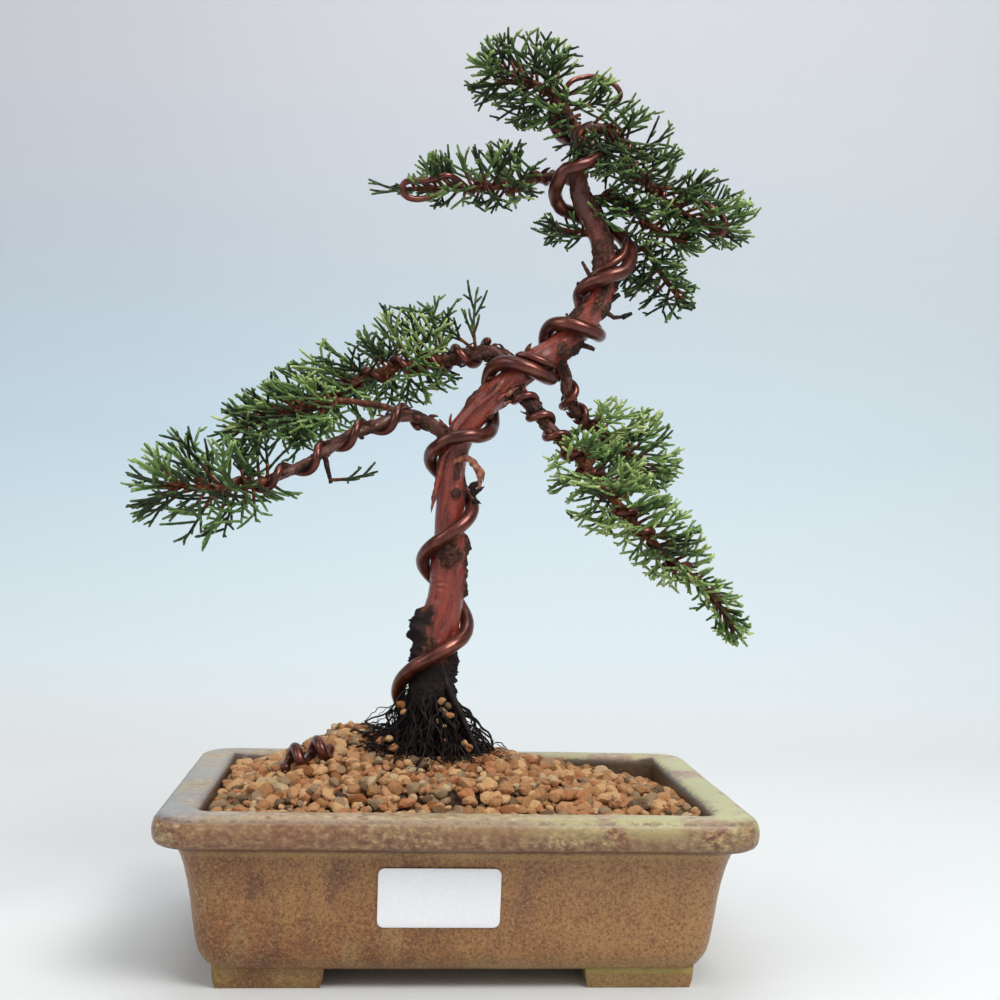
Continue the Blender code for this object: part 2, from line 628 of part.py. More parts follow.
class Room:
    """The places that limbs, wires and masses already take, as balls along their centrelines."""

    def __init__(self):
        self.centres = np.zeros((0, 3))
        self.radii = np.zeros(0)

    def take(self, points, radii):
        """Fill the room along a line of points."""
        points = np.asarray(points, float)
        radii = np.broadcast_to(np.asarray(radii, float), len(points))
        for a, b, ra, rb in zip(points, points[1:], radii, radii[1:]):
            steps = max(1, math.ceil(np.linalg.norm(b - a) / SAMPLE_STEP))
            share = np.linspace(0.0, 1.0, steps + 1)[:, None]
            self.centres = np.vstack([self.centres, a + (b - a) * share])
            self.radii = np.concatenate([self.radii, ra + (rb - ra) * share[:, 0]])

    def is_free(self, start, end, radius):
        """Whether a twig from start to end keeps clear of all that is taken."""
        steps = max(1, math.ceil(np.linalg.norm(end - start) / SAMPLE_STEP))
        points = start + (end - start) * np.linspace(0.0, 1.0, steps + 1)[:, None]
        distances = np.linalg.norm(points[:, None, :] - self.centres[None, :, :], axis=2)
        return bool((distances - self.radii[None, :] > radius + TWIG_CLEAR).all())


def depth_in_lobes(point, lobes):
    """How deep a point lies in the mass's own space: 0 in a lobe's middle, 1 at its skin."""
    depth = math.inf
    for centre, halves, lean in lobes:
        x, y, z = np.asarray(point) - centre
        c, s = math.cos(math.radians(lean)), math.sin(math.radians(lean))
        turned = np.array([x * c + z * s, y, z * c - x * s]) / halves
        depth = min(depth, float(np.linalg.norm(turned)))
    return depth


def reach_in_lobes(start, direction, lobes, longest):
    """How far one can go from start before leaving the mass's own space."""
    length = 0.0
    while length < longest and depth_in_lobes(start + direction * (length + 1.0), lobes) < 1.0:
        length += 1.0
    return length


def across(direction, angle):
    """A unit vector square to the direction, at an angle round it from the horizontal."""
    level = unit(np.cross(direction, (0.0, 0.0, 1.0)) + np.array([0.0, 1e-6, 0.0]))
    upper = np.cross(level, direction)
    return math.cos(angle) * level + math.sin(angle) * upper


class Growth:
    """The seeded rule by which one mass grows from its stem."""

    def __init__(self, name, mass, rooms):
        self.dice = random.Random(mass["seed"])
        self.lobes = mass["lobes"]
        self.others = [room for other, room in rooms.items() if other != name]
        self.pieces = []

    def add(self, start, direction, length, radius, shortest):
        """Add a piece, shortened until it fits; returns it, or None where there is no room."""
        length = reach_in_lobes(start, direction, self.lobes, length)
        while length >= shortest:
            end = start + direction * length
            if all(room.is_free(start, end, radius) for room in self.others):
                self.pieces.append((start, end, radius))
                return start, end
            length -= 1.5
        return None

    def shoots(self, start, end):
        """Shoots on both sides of a twig, in turn, from its tip back to its root."""
        length = np.linalg.norm(end - start)
        forward = (end - start) / length
        level = self.dice.uniform(-0.6, 0.6)
        for number in range(int((length - 1.0) / SHOOT_SPACING)):
            base = start + forward * (length - 2.0 - SHOOT_SPACING * number)
            out = (forward * math.cos(SHOOT_ANGLE)
                   + across(forward, level + math.pi * number) * math.sin(SHOOT_ANGLE))
            out = unit(out + np.array([0.0, 0.0, SHOOT_LIFT]))
            self.add(base, out, self.dice.uniform(*SHOOT_LENGTHS), SHOOT_RADIUS, 5.0)

    def grow(self, stem):
        """Pairs of twigs along the stem, each with its shoots."""
        stations = max(2, round(stem.length / STATION_SPACING))
        for number in range(stations):
            share = (number + 0.45) / stations
            start, _, forward = stem.at(stem.length * share)
            lean = math.radians(TWIG_LEANS[0] + (TWIG_LEANS[1] - TWIG_LEANS[0]) * share)
            for half in (0, 1):
                around = STATION_TURN * number + math.pi * half + self.dice.uniform(-0.3, 0.3)
                tilt = lean + self.dice.uniform(-0.15, 0.15)
                out = forward * math.cos(tilt) + across(forward, around) * math.sin(tilt)
                twig = self.add(start, out, TWIG_LONGEST, TWIG_RADIUS, TWIG_SHORTEST)
                if twig:
                    self.shoots(*twig)
        self.shoots(stem.at(stem.length * 0.8)[0], stem.points[-1])
        return self.pieces


def stem_limb(mass, limbs):
    """The stem inside a mass, from just clear of the limb that carries it."""
    carrier = limbs[mass["root"]]
    way = [np.array(point, float) for point in mass["way"]]
    if "start" in mass:
        start = [np.array(mass["start"], float)]
    elif "side" in mass:
        centre, radius, _ = carrier.at(carrier.length * mass["side"])
        out = unit(way[0] - centre)
        start = [centre + out * (radius + SIDE_GAP), centre + out * (radius + STEM_STRAIGHT)]
    else:
        centre, _, direction = carrier.at(carrier.length)
        start = [centre + direction * STEM_GAP, centre + direction * STEM_STRAIGHT]
    return Limb(tapered(start + way, mass["radius"], STEM_TIP_RADIUS), STEM_SPACING)


def make_masses(stems, limbs, wires, group, parts):
    """Every mass of foliage: its twigs and shoots joined to its stem in one union."""
    rooms = {"limbs": Room()}
    for limb in limbs.values():
        rooms["limbs"].take(limb.points, limb.radii)
    for path, radius in wires.values():
        rooms["limbs"].take(path, radius)
    for name, stem in stems.items():
        rooms[name] = Room()
        rooms[name].take(stem.points, stem.radii)
    for name, mass in MASSES.items():
        stem = stems[name]
        pieces = Growth(name, mass, rooms).grow(stem)
        for number, (start, end, radius) in enumerate(pieces):
            spike(f"{name}_{number}", start, end, radius, parts)
            rooms[name].take([start, end], [radius, 0.0])
        obj = tube(name, stem.points, stem.radii, STEM_SIDES, group)
        boolean(obj, "UNION", parts)
        discard(parts)
        dress(obj, "foliage", 30.0)


def main():
    """Build the whole bonsai."""
    clear_scene()
    group = new_collection("juniper_bonsai")
    parts = new_collection("joined_parts")
    cutters = new_collection("cutters")
    make_pot(group, parts, cutters)
    soil = make_soil(group)
    trunk_limb = Limb(TRUNK, TRUNK_SPACING)
    make_trunk(trunk_limb, group, parts, cutters)
    limbs = {"trunk": trunk_limb, **make_boughs(trunk_limb, group, cutters)}
    stems = {name: stem_limb(mass, limbs) for name, mass in MASSES.items()}
    wires = make_wires(trunk_limb, limbs, soil, group)
    make_masses(stems, limbs, wires, group, parts)
    bpy.data.collections.remove(parts)


main()
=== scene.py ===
"""The looks of the wired juniper bonsai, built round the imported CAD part.

Lengths are in millimetres in the part's own frame until a mesh is made; MM turns them into
metres. The origin lies on the table under the middle of the pot, +Z is up and the front of the
tree looks along -Y.
"""
import math
import random

import bmesh
import bpy
import numpy as np
from mathutils import Matrix, Vector, noise


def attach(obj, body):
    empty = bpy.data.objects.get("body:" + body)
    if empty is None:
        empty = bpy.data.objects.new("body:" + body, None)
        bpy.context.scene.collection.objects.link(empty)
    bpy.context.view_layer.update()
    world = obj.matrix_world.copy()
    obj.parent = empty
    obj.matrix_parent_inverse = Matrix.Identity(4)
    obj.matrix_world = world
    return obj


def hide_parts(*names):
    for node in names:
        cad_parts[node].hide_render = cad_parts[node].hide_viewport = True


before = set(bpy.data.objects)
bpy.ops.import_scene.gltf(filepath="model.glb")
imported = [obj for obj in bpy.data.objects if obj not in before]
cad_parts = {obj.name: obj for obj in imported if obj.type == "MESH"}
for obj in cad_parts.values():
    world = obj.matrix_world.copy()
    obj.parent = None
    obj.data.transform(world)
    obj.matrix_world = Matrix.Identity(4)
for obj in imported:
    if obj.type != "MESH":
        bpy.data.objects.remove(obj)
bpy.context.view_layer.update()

MM = 0.001
BODY = "root"

# Camera
IMAGE_SIDE = 1000
FOCAL_PIXELS = 1375.84
CAMERA_PLACE = (-26.866, -511.467, 154.652)
CAMERA_YAW = math.radians(4.6743)
CAMERA_PITCH = math.radians(1.0807)
CAMERA_ROLL = math.radians(-1.4696)
SENSOR = 36.0

# Pot
POT_HALF_X = 100.0
POT_HALF_Y = 70.0
RIM_FLAT = 14.5
FOOT_HEIGHT = 7.0
FOOT_INSET = 19.4
FOOT_LEG_X = 37.0
FOOT_LEG_Y = 28.0
FOOT_THICKNESS = 11.0
FOOT_SLANT = 1.2
FLOOR_TOP = 13.5
DRAIN_RADIUS = 8.0
DRAIN_PLACES = (-45.0, 45.0)

# Soil
GAP = 0.35                       # between the soil and the flat cut of the trunk's foot
SOIL_EDGE = 56.0
SOIL_FALL = (5.4, (-10.0, 90.0), (-30.0, 80.0))   # depth at the back right; start and reach, X and Y
MOUNDS = (((-9.5, 0), (73, 58), 15.3), ((-39, 12.4), (16, 21), 9.5),)
RELIEF_HEIGHT = 3.0
RELIEF_WIDTH = 9.0
GROUND = 70.0
ROOT_DISC = 19.0
WALL_BLEND = 16.0
DISC_BLEND = 8.0
TRUNK_FOOT = (-9.5, 0.0)

# Trunk: centreline points (x, y, z) with the radius there
TRUNK = (
    (-9.5, 0, 62, 9.5), (-9.5, 0, 76, 8.6), (-9.5, 0, 92, 7.6), (-7.8, 0, 110, 7.3), (-4.4, 0, 127, 6.7),
    (-4, -1, 145, 6), (-3.7, -2, 160, 5.2), (-3.8, -3.5, 174, 5.2), (-2, -4.5, 185, 5.2),
    (3, -5, 193.5, 5.1), (12.7, -6, 204.1, 5), (24.3, -6, 214.1, 5), (32.9, -5, 219.7, 5),
    (41.5, -3, 228.1, 4.8), (50, 0, 239.8, 4.4), (53, 3, 251, 4.1), (51.7, 5, 264, 4.1),
    (47.7, 5, 272.5, 3.9), (43.2, 4, 280, 3.6), (41.8, 2, 288.5, 3.3), (42.6, 1, 296.5, 3),
    (39.5, 0, 304.3, 2.6), (36, -1, 311, 2.2),
)
TRUNK_SPACING = 6.5
# Surface roots: compass angle in degrees (0 = +X, 270 = front), reach, height on the trunk and
# radius there
ROOTS = (
    (5, 16, 96, 2.6), (50, 13.5, 90, 2.4), (150, 13.5, 90, 2.4), (190, 15.5, 92, 2.6), (232, 14.5, 88, 2.3),
    (272, 15, 90, 2.4), (318, 14.5, 92, 2.4),
)
ROOT_COURSE = ((0.22, 1), (0.47, 0.65), (0.75, 0.21), (1, -0.19))
ROOT_TAPER = 0.62

# Boughs: waypoints (x, y, z); the root and tip radius; how rough and how dark the bark is; and the
# wire round it: radius, turns, start and end (0 to 1 of its length), start angle in degrees, hand
BOUGHS = {
    "bough_left_low": dict(
        way=((-2.5, -4, 186), (-9, -6, 189.5), (-16, -9, 193.5), (-22, -11, 194), (-33, -15, 189),
             (-42, -18, 185), (-54, -22, 176), (-63, -25, 171), (-69, -27, 168.5)),
        radii=(2.5, 1.6), look=(0.5, 0.45), wire=(1.5, 3.8, 0.18, 0.97, 277, -1)),
    "bough_left_high": dict(
        way=((21, -4, 211), (14, 3, 219), (7, 6, 220), (1, 8, 218.6), (-7, 10, 217)),
        radii=(3.1, 2.7), look=(0.75, 0.5), wire=(1.6, 1.3, 0.5, 0.93, 60, 1)),
    "bough_right_low": dict(
        way=((9, -6, 201), (17.5, -9, 204.5), (24, -12, 199), (29, -14, 193), (34, -15.5, 187.5)),
        radii=(2.4, 2.1), look=(0.7, 0.62), wire=(1.5, 2.1, 0.38, 0.95, 100, -1)),
    "bough_right_middle": dict(
        way=((35, -4.5, 221), (36, -5, 215), (38.5, -3, 209.5), (39.5, 0.5, 203.5), (43, 4, 198.5),
             (48, 7, 194.5)),
        radii=(2.3, 2), look=(0.6, 0.4), wire=(1.5, 1.6, 0.42, 0.95, 200, 1)),
    "bough_right_back": dict(
        way=((53, 3, 255), (57, 8.5, 258.5), (62, 13.5, 262.5), (68, 18, 264)),
        radii=(1.7, 1.5), look=(0.3, 0.35), wire=None),
    "bough_right_high": dict(
        way=((44.5, 4, 275.5), (49, 6, 280), (54, 8, 281.5), (60, 9, 280)),
        radii=(1.7, 1.5), look=(0.35, 0.25), wire=(1.2, 1.1, 0.5, 0.93, 90, 1)),
    "bough_top_left": dict(
        way=((42, 3, 285), (33, 9, 289), (27, 9, 287.5), (22, 7.5, 284.5)),
        radii=(1.8, 1.6), look=(0.3, 0.35), wire=(1.2, 1.3, 0.5, 0.93, 120, 1)),
    "bough_top_right": dict(
        way=((40, 0, 303), (47, 0, 306.5), (53, 2, 305), (57, 3.5, 301.5)),
        radii=(1.8, 1.7), look=(0.3, 0.35), wire=(1.2, 0.9, 0.55, 0.9, 90, 1)),
}
BOUGH_SPACING = 6.0
STEM_TIP_RADIUS = 0.9
STEM_STRAIGHT = 4.0
STEM_SUNK = 1.5                  # how far a stem starts inside its bough
STEM_SPACING = 1.2
TUFT_SHARE = 0.80                # of the trunk's length, where the tuft's stem starts

# Trunk wire: its height at each turn; it crosses the front of the trunk at whole turns
WIRE_RADIUS = 2.65
WIRE_HEIGHTS = (
    (-1, 54), (-0.6, 73.6), (-0.3, 91), (0, 107), (1, 152), (2, 187), (3, 212.5), (4, 227.5), (5, 246.5),
    (5.25, 260), (5.5, 273), (5.75, 281.5), (6, 291), (7, 312)
)
WIRE_START_TURN = -0.6
WIRE_END_TURN = 6.75
WIRE_CLEAR = 0.35
BOUGH_WIRE_SUNK = 0.45           # how far a bough's wire presses into its rough bark
WIRE_STEPS = 36                  # in one turn
BOUGH_WIRE_STEPS = 28
WIRE_SIDES = 14
TRUNK_WIRE_SIDES = 20
WIRE_END_SPACING = 0.8
WIRE_CUT = 0.7                   # how much thinner a wire's cut ends are
WIRE_LOOPS = ((-0.6, 6, 0.25), (5.25, 3, 0.22), (5.85, 4.2, 0.18))
# Where a bough's wire goes on: the mass whose stem it follows, the share of that stem, and the
# free end that it is bent into
WIRE_ENDS = {
    "bough_left_low": ("foliage_left_tip", 0.62, None),
    "bough_left_high": ("foliage_left_high", 0.72, None),
    "bough_right_low": ("foliage_right_tail", 0.72, None),
    "bough_right_middle": ("foliage_right_pad", 0.6, None),
    "bough_right_high": ("foliage_right_high", 0.5, None),
    "bough_top_left": ("foliage_top_left", 0.48, (
        (-7, -5, 283.5), (-14.4, -5, 281.6), (-22.5, -6, 280.7), (-24.5, -5.5, 278), (-22.7, -4.5, 275.2),
        (-17.9, -3.5, 274.8), (-11.9, -2, 277.1), (-5.9, 1, 280.8))),
    "bough_top_right": ("foliage_top_right", 0.62, (
        (90.3, 8, 281.4), (94.6, 8, 279.1), (98.1, 7, 276.1), (99.8, 6, 272), (98, 7, 268.8),
        (93.8, 9, 268.7))),
}
# The trunk wire's end beside the trunk's top, and the thinner wire that loops out of the crown
TRUNK_WIRE_END = ((31.6, 0.5, 308), (32, -2.5, 313), (33.5, -4, 317))
CROWN_LOOP = (
    (33, -3, 315), (37, -4, 321), (42.2, -2, 323.8), (47.3, -2, 324.2), (52.8, -3, 321.9), (56.1, -2, 319),
    (56.1, 0, 316.6), (53.8, 2, 315.5)
)
CROWN_LOOP_RADIUS = 1.0
CROWN_LOOP_SIDES = 12
THIN_WIRES = {"wire_trunk_thin_low": (2.84, 3.14), "wire_trunk_thin_high": (4.80, 5.22)}
THIN_WIRE_RADIUS = 1.5
THIN_WIRE_LIFT = 5.2
KNOT_WIRE_RADIUS = 1.9
KNOT_START = (-61.0, -14.0)
KNOT_END = (-45.0, -9.0)
KNOT_TURNS = 2.1
KNOT_STEPS = 64
KNOT_SWAY = 4.4
KNOT_RISE = 6.4
KNOT_SUNK = 1.4

# Foliage: the limb that carries each mass, its stem's way and root radius, the seed of its dice, how
# many sprays get each green (from the deepest), how much shorter its twigs are at the stem's tip,
# the way in which they grow longer, the share of side shoots, the lobes that the twigs keep inside
# (centre, half sizes, lean in degrees), and single sprays (root, tip) placed from the picture.
# `side` or `start` says where a stem leaves its limb if that isn't at the limb's tip.
MASSES = {
    "foliage_apex": dict(
        root="trunk", way=((30, -4, 317), (20, -7, 320), (8, -9, 323)), radius=1.9, seed=12,
        tints=(3, 5, 4, 1, 0),
        taper=0.1, toward=(-0.1, 0, 0.2), forks=0.45,
        lobes=(((23, -5, 319.5), (26, 27, 17.5), -8), ((42, 0, 317), (15, 17, 12), -10),
               ((37, -7, 305), (12, 8, 13), 0)),
        sprays=(((41, -3, 313), (54, -6, 322)), ((41, -3, 312), (51, -8, 314)),
                ((41, -4, 309), (28, -9, 303)), ((41, -4, 306), (32, -11, 296)),
                ((42, -4, 304), (37, -11, 293)))),
    "foliage_top_right": dict(
        root="bough_top_right",
        way=((62, 5.5, 293.5), (69, 7, 287), (77, 9, 281), (88, 11, 275.5), (101, 13, 272)),
        radius=1.6, seed=23, tints=(3, 5, 4, 1, 0),
        taper=0.45, toward=(0.15, 0, 0.1), forks=0.4,
        lobes=(((62, 3, 297), (23, 25, 16), -42), ((90, 11, 279), (26, 22, 14), -22),
               ((50, -4, 300), (19, 10, 18), -30)),
        sprays=(((44, -2, 304), (41, -9, 289)), ((47, -1, 306), (47, -9, 288)),
                ((50, 0, 306), (55, -8, 288)), ((52, 0, 305), (62, -7, 291)),
                ((46, -1, 306), (57, -5, 317)), ((52, 0, 306), (64, -3, 315)),
                ((55, 2, 305), (69, 1, 309)), ((48, 2, 305), (55, 9, 292)))),
    "foliage_right_high": dict(
        root="bough_right_high", way=((66, 9.5, 275.5), (74, 9, 270), (85, 8, 265)), radius=1.4, seed=31,
        tints=(4, 5, 3, 1, 0),
        taper=0.4, toward=(0.1, 0, 0), forks=0.4,
        lobes=(((75, 8, 269.5), (18, 18, 10), -28), ((57, 3, 275), (13, 9, 11), -15)),
        sprays=(((47, 5, 279), (51, -4, 268)), ((51, 7, 281), (57, -4, 269)),
                ((56, 8.5, 281), (66, 0, 272)), ((58, 9, 281), (70, 5, 285)),
                ((52, 7, 281), (58, 1, 288)))),
    "foliage_right_back": dict(
        root="bough_right_back", way=((75, 21, 260), (79.5, 21.5, 253.5), (86, 20, 245)),
        radius=1.4, seed=47, tints=(4, 5, 3, 1, 0), taper=0.3, toward=(0.1, 0, -0.1), forks=0.4,
        lobes=(((74, 19, 252.5), (21, 20, 12), -42),)),
    "foliage_top_left": dict(
        root="bough_top_left", way=((13, 5, 283), (2, 2, 281), (-10, 0, 280), (-24, -2, 278.5)),
        radius=1.5, seed=59, tints=(4, 5, 3, 1, 0), taper=0.78, toward=(0, 0, 0.15), forks=0.4,
        lobes=(((12, 3, 286), (18, 21, 13), 8), ((-8, 0, 283.5), (13, 18, 11.5), 4),
               ((-27, -3, 279.5), (14, 7, 4.5), -4))),
    "foliage_left_high": dict(
        root="bough_left_high", way=((-22, 12, 214.6), (-34, 13, 210.5), (-46, 15, 204), (-61, 16, 196)),
        radius=2.6, seed=61, tints=(2, 4, 5, 3, 1),
        taper=0.15, toward=(-0.1, 0, 0.25), forks=0.5,
        lobes=(((-20, 12, 219), (22, 26, 20), -12), ((-50, 15, 204), (30, 27, 19), 28),
               ((0, 3, 234), (13, 8, 11.5), 0)),
        sprays=(((4.5, 4, 221.5), (1, 1, 240.5)), ((3.5, 4, 221), (-9, 2, 229.5)))),
    "foliage_left_middle": dict(
        root="bough_left_low",
        way=((-26, -4, 196.5), (-35, -2, 198.5), (-47, -4, 199), (-61, -8, 195.5), (-79, -12, 188)),
        radius=1.3, seed=73, side=0.34, tints=(2, 4, 5, 3, 1),
        taper=0.15, toward=(-0.1, 0, 0.15), forks=0.35, lobes=(((-67, -10, 190), (25, 20, 16), 22),)),
    "foliage_left_tip": dict(
        root="bough_left_low", way=((-80, -29, 165.5), (-89, -31, 165), (-101, -32, 166)), radius=1.6,
        seed=83, tints=(3, 4, 5, 2, 0),
        taper=0, toward=(-0.1, 0, 0), forks=0.12,
        lobes=(((-72, -28, 171), (20, 22, 14), 10), ((-92.5, -31, 165), (25, 24, 21), 0),
               ((-37, -21, 170.5), (10, 7, 8), 0)),
        sprays=(((-47.4, -21, 169.4), (-32, -22, 169.6)),)),
    "foliage_right_pad": dict(
        root="bough_right_middle", way=((55, 9, 190), (64, 11, 184), (74, 12, 176)), radius=2, seed=97,
        tints=(1, 2, 5, 5, 2),
        taper=0, toward=(0.15, 0, 0.25), forks=0.45, lobes=(((63, 10, 185), (23, 24, 19), -30),)),
    "foliage_right_tail": dict(
        root="bough_right_low",
        way=((42.5, -17, 179.5), (49.5, -18, 171), (57, -18, 163), (66, -18, 153.5), (78, -18, 143),
             (92, -18, 131), (100, -18, 119)),
        radius=2.1, seed=101, tints=(1, 2, 5, 5, 2),
        taper=0.62, toward=(0.2, 0, 0.15), forks=0.45,
        lobes=(((50, -18, 171), (23, 22, 18), -45), ((72, -18, 151.5), (24, 22, 14), -45),
               ((93, -18, 129), (20, 11, 8), -52))),
    "foliage_trunk_tuft": dict(
        root="trunk", way=((41, 9.5, 268), (33, 10, 269.5)), radius=1.1, seed=113, tints=(4, 5, 2, 1, 0),
        start=(46.1, 8.3, 267.5), taper=0.2, toward=(-0.1, 0, 0), forks=0.3,
        lobes=(((38, 9.5, 268.5), (13, 9, 8), 0),)),
}
STATION_SPACING = 2.7            # along a stem, between two stations
TWIGS_AT_STATION = 3
STATION_TURN = math.radians(75)
TWIG_LEANS = (98.0, 42.0)        # a twig's angle to its stem, at the stem's root and at its tip
TWIG_LONGEST = 23.0
TWIG_SIZES = (0.65, 1.1)
TWIG_SHORTEST = 4.0
TWIG_RADIUS = 0.6
TWIG_SIDES = 5
STEM_SIDES = 10
TWIG_WOODY = 0.40                # share of a twig that is brown wood
CORD_RADIUS = 0.54               # of a shoot covered with scale leaves
SPRAY_LEVEL = 0.6                # how far a spray's plane turns from level, in radians
SHOOT_FIRST = 1.2                # from a spray's tip to its first shoot
SHOOT_SPACING = 2.6
SHOOT_TURN = 0.35                # how far a shoot turns out of its spray's plane, in radians
SHOOT_ANGLE = math.radians(36.0)
SHOOT_ANGLE_SPREAD = (-0.22, 0.38)
SHOOT_SIZES = (0.75, 1.1)
SHOOT_SKINS = (0.95, 1.06)       # how near to its lobe's skin a shoot grows
SHOOT_LONGEST = 13.0
SHOOT_SHORTEST = 2.0
SHOOT_BOW = 0.14                 # how far a shoot bows, as a share of its length
SIDE_SHOOT_FIRST = 1.6
SIDE_SHOOT_SPACING = 2.7
SIDE_SHOOT_LENGTHS = (2.2, 4.8)
SHOOT_LIFT = 0.12
CLUMPING = 0.22                  # how much longer twigs are in the clumps along a stem
CLUMP_LENGTH = 19.0

GREENS = ("#1f2b14", "#364b25", "#536d38", "#708a4c", "#90a564", "#adbd7c")
PEBBLES = ("#ae815a", "#a6704a", "#8c7458", "#bc9468", "#85542f", "#665039", "#9c714a", "#b39a78")


# ---------------------------------------------------------------- colours and materials

def linear(code):
    """A colour code as linear RGB with alpha."""
    parts = [int(code[i:i + 2], 16) / 255 for i in (1, 3, 5)]
    return (*[p / 12.92 if p <= 0.04045 else ((p + 0.055) / 1.055) ** 2.4 for p in parts], 1.0)


class Shader:
    """A short way to write a material's nodes."""

    def __init__(self, name, **values):
        self.material = bpy.data.materials.new(name)
        self.material.use_nodes = True
        self.tree = self.material.node_tree
        self.main = self.tree.nodes["Principled BSDF"]
        for socket, value in values.items():
            self.main.inputs[socket.replace("_", " ")].default_value = value

    def node(self, kind, inputs=(), **settings):
        """A new node; inputs are (socket, value or (node, output)) pairs."""
        node = self.tree.nodes.new(kind)
        for key, value in settings.items():
            setattr(node, key, value)
        for socket, value in inputs:
            self.feed(node.inputs[socket], value)
        return node

    def feed(self, socket, value):
        """Link or set one input."""
        if isinstance(value, tuple) and isinstance(value[0], bpy.types.Node):
            self.tree.links.new(value[0].outputs[value[1]], socket)
        else:
            socket.default_value = value

    def place(self):
        """The coordinates of a point on the piece."""
        return self.node("ShaderNodeTexCoord"), "Object"

    def attribute(self, name, output="Fac"):
        """A value stored on the mesh."""
        return self.node("ShaderNodeAttribute", attribute_name=name), output

    def noise(self, vector, scale, detail=4.0, roughness=0.55, distortion=0.0):
        """Noise from 0 to 1, of one scale or of one for each axis."""
        if isinstance(scale, tuple):
            stretched = self.node("ShaderNodeVectorMath", operation="MULTIPLY",
                                  inputs=((0, vector), (1, scale)))
            vector, scale = (stretched, "Vector"), 1.0
        node = self.node("ShaderNodeTexNoise", inputs=(
            ("Vector", vector), ("Scale", scale), ("Detail", detail), ("Roughness", roughness),
            ("Distortion", distortion)))
        return node, "Fac"

    def ramp(self, factor, *stops):
        """A colour for each place along a 0 to 1 scale."""
        node = self.node("ShaderNodeValToRGB", inputs=(("Fac", factor),))
        points = node.color_ramp.elements
        while len(points) < len(stops):
            points.new(0.5)
        for point, (at, colour) in zip(points, stops):
            point.position = at
            point.color = linear(colour) if isinstance(colour, str) else (colour,) * 3 + (1.0,)
        return node, "Color"

    def mix(self, factor, first, second):
        """Two colours mixed."""
        node = self.node("ShaderNodeMix", data_type="RGBA")
        self.feed(node.inputs[0], factor)
        for socket, value in ((6, first), (7, second)):
            self.feed(node.inputs[socket], linear(value) if isinstance(value, str) else value)
        return node, 2

    def number(self, operation, *values):
        """Arithmetic on numbers."""
        node = self.node("ShaderNodeMath", inputs=tuple(enumerate(values)), operation=operation)
        return node, "Value"

    def times(self, *values):
        """Numbers multiplied together."""
        product = values[0]
        for value in values[1:]:
            product = self.number("MULTIPLY", product, value)
        return product

    def between(self, value, low, high, to_low=0.0, to_high=1.0):
        """Map a range of numbers to another, clamped."""
        node = self.node("ShaderNodeMapRange", inputs=(
            ("Value", value), ("From Min", low), ("From Max", high), ("To Min", to_low),
            ("To Max", to_high)))
        return node, "Result"

    def band(self, value, start, full, fade, end):
        """1 where a value lies in a band with soft edges, 0 outside it."""
        return self.times(self.between(value, start, full), self.between(value, end, fade))

    def tinted(self, base, *tints):
        """Tints over a colour, each where its value passes a soft edge: value, low, high, share, tint."""
        for value, low, high, share, tint in tints:
            base = self.mix(self.between(value, low, high, 0.0, share), base, tint)
        return base

    def marked(self, base, *marks):
        """Marks over a colour: each has its own colour and the factors of its share."""
        for mark, *factors in marks:
            base = self.mix(self.times(*factors), base, mark)
        return base

    def separate(self, vector, axis):
        """One axis of a vector."""
        return self.node("ShaderNodeSeparateXYZ", inputs=(("Vector", vector),)), axis

    def bump(self, height, distance, strength=1.0):
        """Relief too fine for the mesh."""
        node = self.node("ShaderNodeBump", inputs=(
            ("Height", height), ("Distance", distance), ("Strength", strength)))
        self.tree.links.new(node.outputs[0], self.main.inputs["Normal"])

    def colour(self, value):
        """The base colour."""
        self.feed(self.main.inputs["Base Color"], linear(value) if isinstance(value, str) else value)

    def roughness(self, value):
        """The roughness."""
        self.feed(self.main.inputs["Roughness"], value)


def leaf_materials():
    """One plain green for each tint."""
    return [Shader(f"leaf_{number}", Base_Color=linear(code), Roughness=0.62,
                   Specular_IOR_Level=0.3).material for number, code in enumerate(GREENS)]


def bark_material(name, light, middle, deep):
    """Polished red bark, brown and rough where the mesh says half dark, black where it says dark."""
    s = Shader(name, Specular_IOR_Level=0.4, Coat_Roughness=0.2)
    grain = s.attribute("grain", "Vector")
    dark = s.attribute("dark")
    fibres = s.noise(grain, (0.55, 0.55, 0.12), 6.0, 0.58, 0.5)
    threads = s.noise(grain, (3.0, 3.0, 0.9), 5.0, 0.65)
    patches = s.noise(grain, (0.2, 0.2, 0.08), 4.0)
    crumbs = s.noise(grain, (0.95, 0.95, 0.7), 7.0, 0.72)
    red = s.ramp(fibres, (0.24, deep), (0.44, middle), (0.70, light))
    # The last tint makes the bark darker and browner from 205 to 245 mm along the limb: partly the older
    # bark's own brown, partly painted shade from the foliage above.
    red = s.tinted(red, (patches, 0.48, 0.64, 0.75, light), (patches, 0.43, 0.30, 0.85, deep),
                   (threads, 0.62, 0.68, 0.65, "#bd8a70"),
                   (s.separate(grain, "Z"), 205.0, 245.0, 0.8, "#451f15"))
    brown = s.ramp(crumbs, (0.36, "#170a07"), (0.50, "#3a1d14"), (0.66, "#7b4a34"))
    black = s.ramp(crumbs, (0.35, "#060303"), (0.55, "#140b09"), (0.74, "#3a2620"))
    edge = s.number("ADD", dark, s.between(crumbs, 0.3, 0.7, -0.25, 0.25))
    rough = s.between(edge, 0.24, 0.46)
    s.colour(s.mix(s.between(edge, 0.72, 0.95), s.mix(rough, red, brown), black))
    s.roughness(s.between(rough, 0.0, 1.0, 0.27, 0.85))
    s.feed(s.main.inputs["Coat Weight"], s.between(rough, 0.0, 0.7, 0.5, 0.0))
    height = s.mix(rough, s.mix(0.5, fibres, threads), s.mix(0.7, threads, crumbs))
    s.bump(height, 1.2 * MM, 0.9)
    return s.material


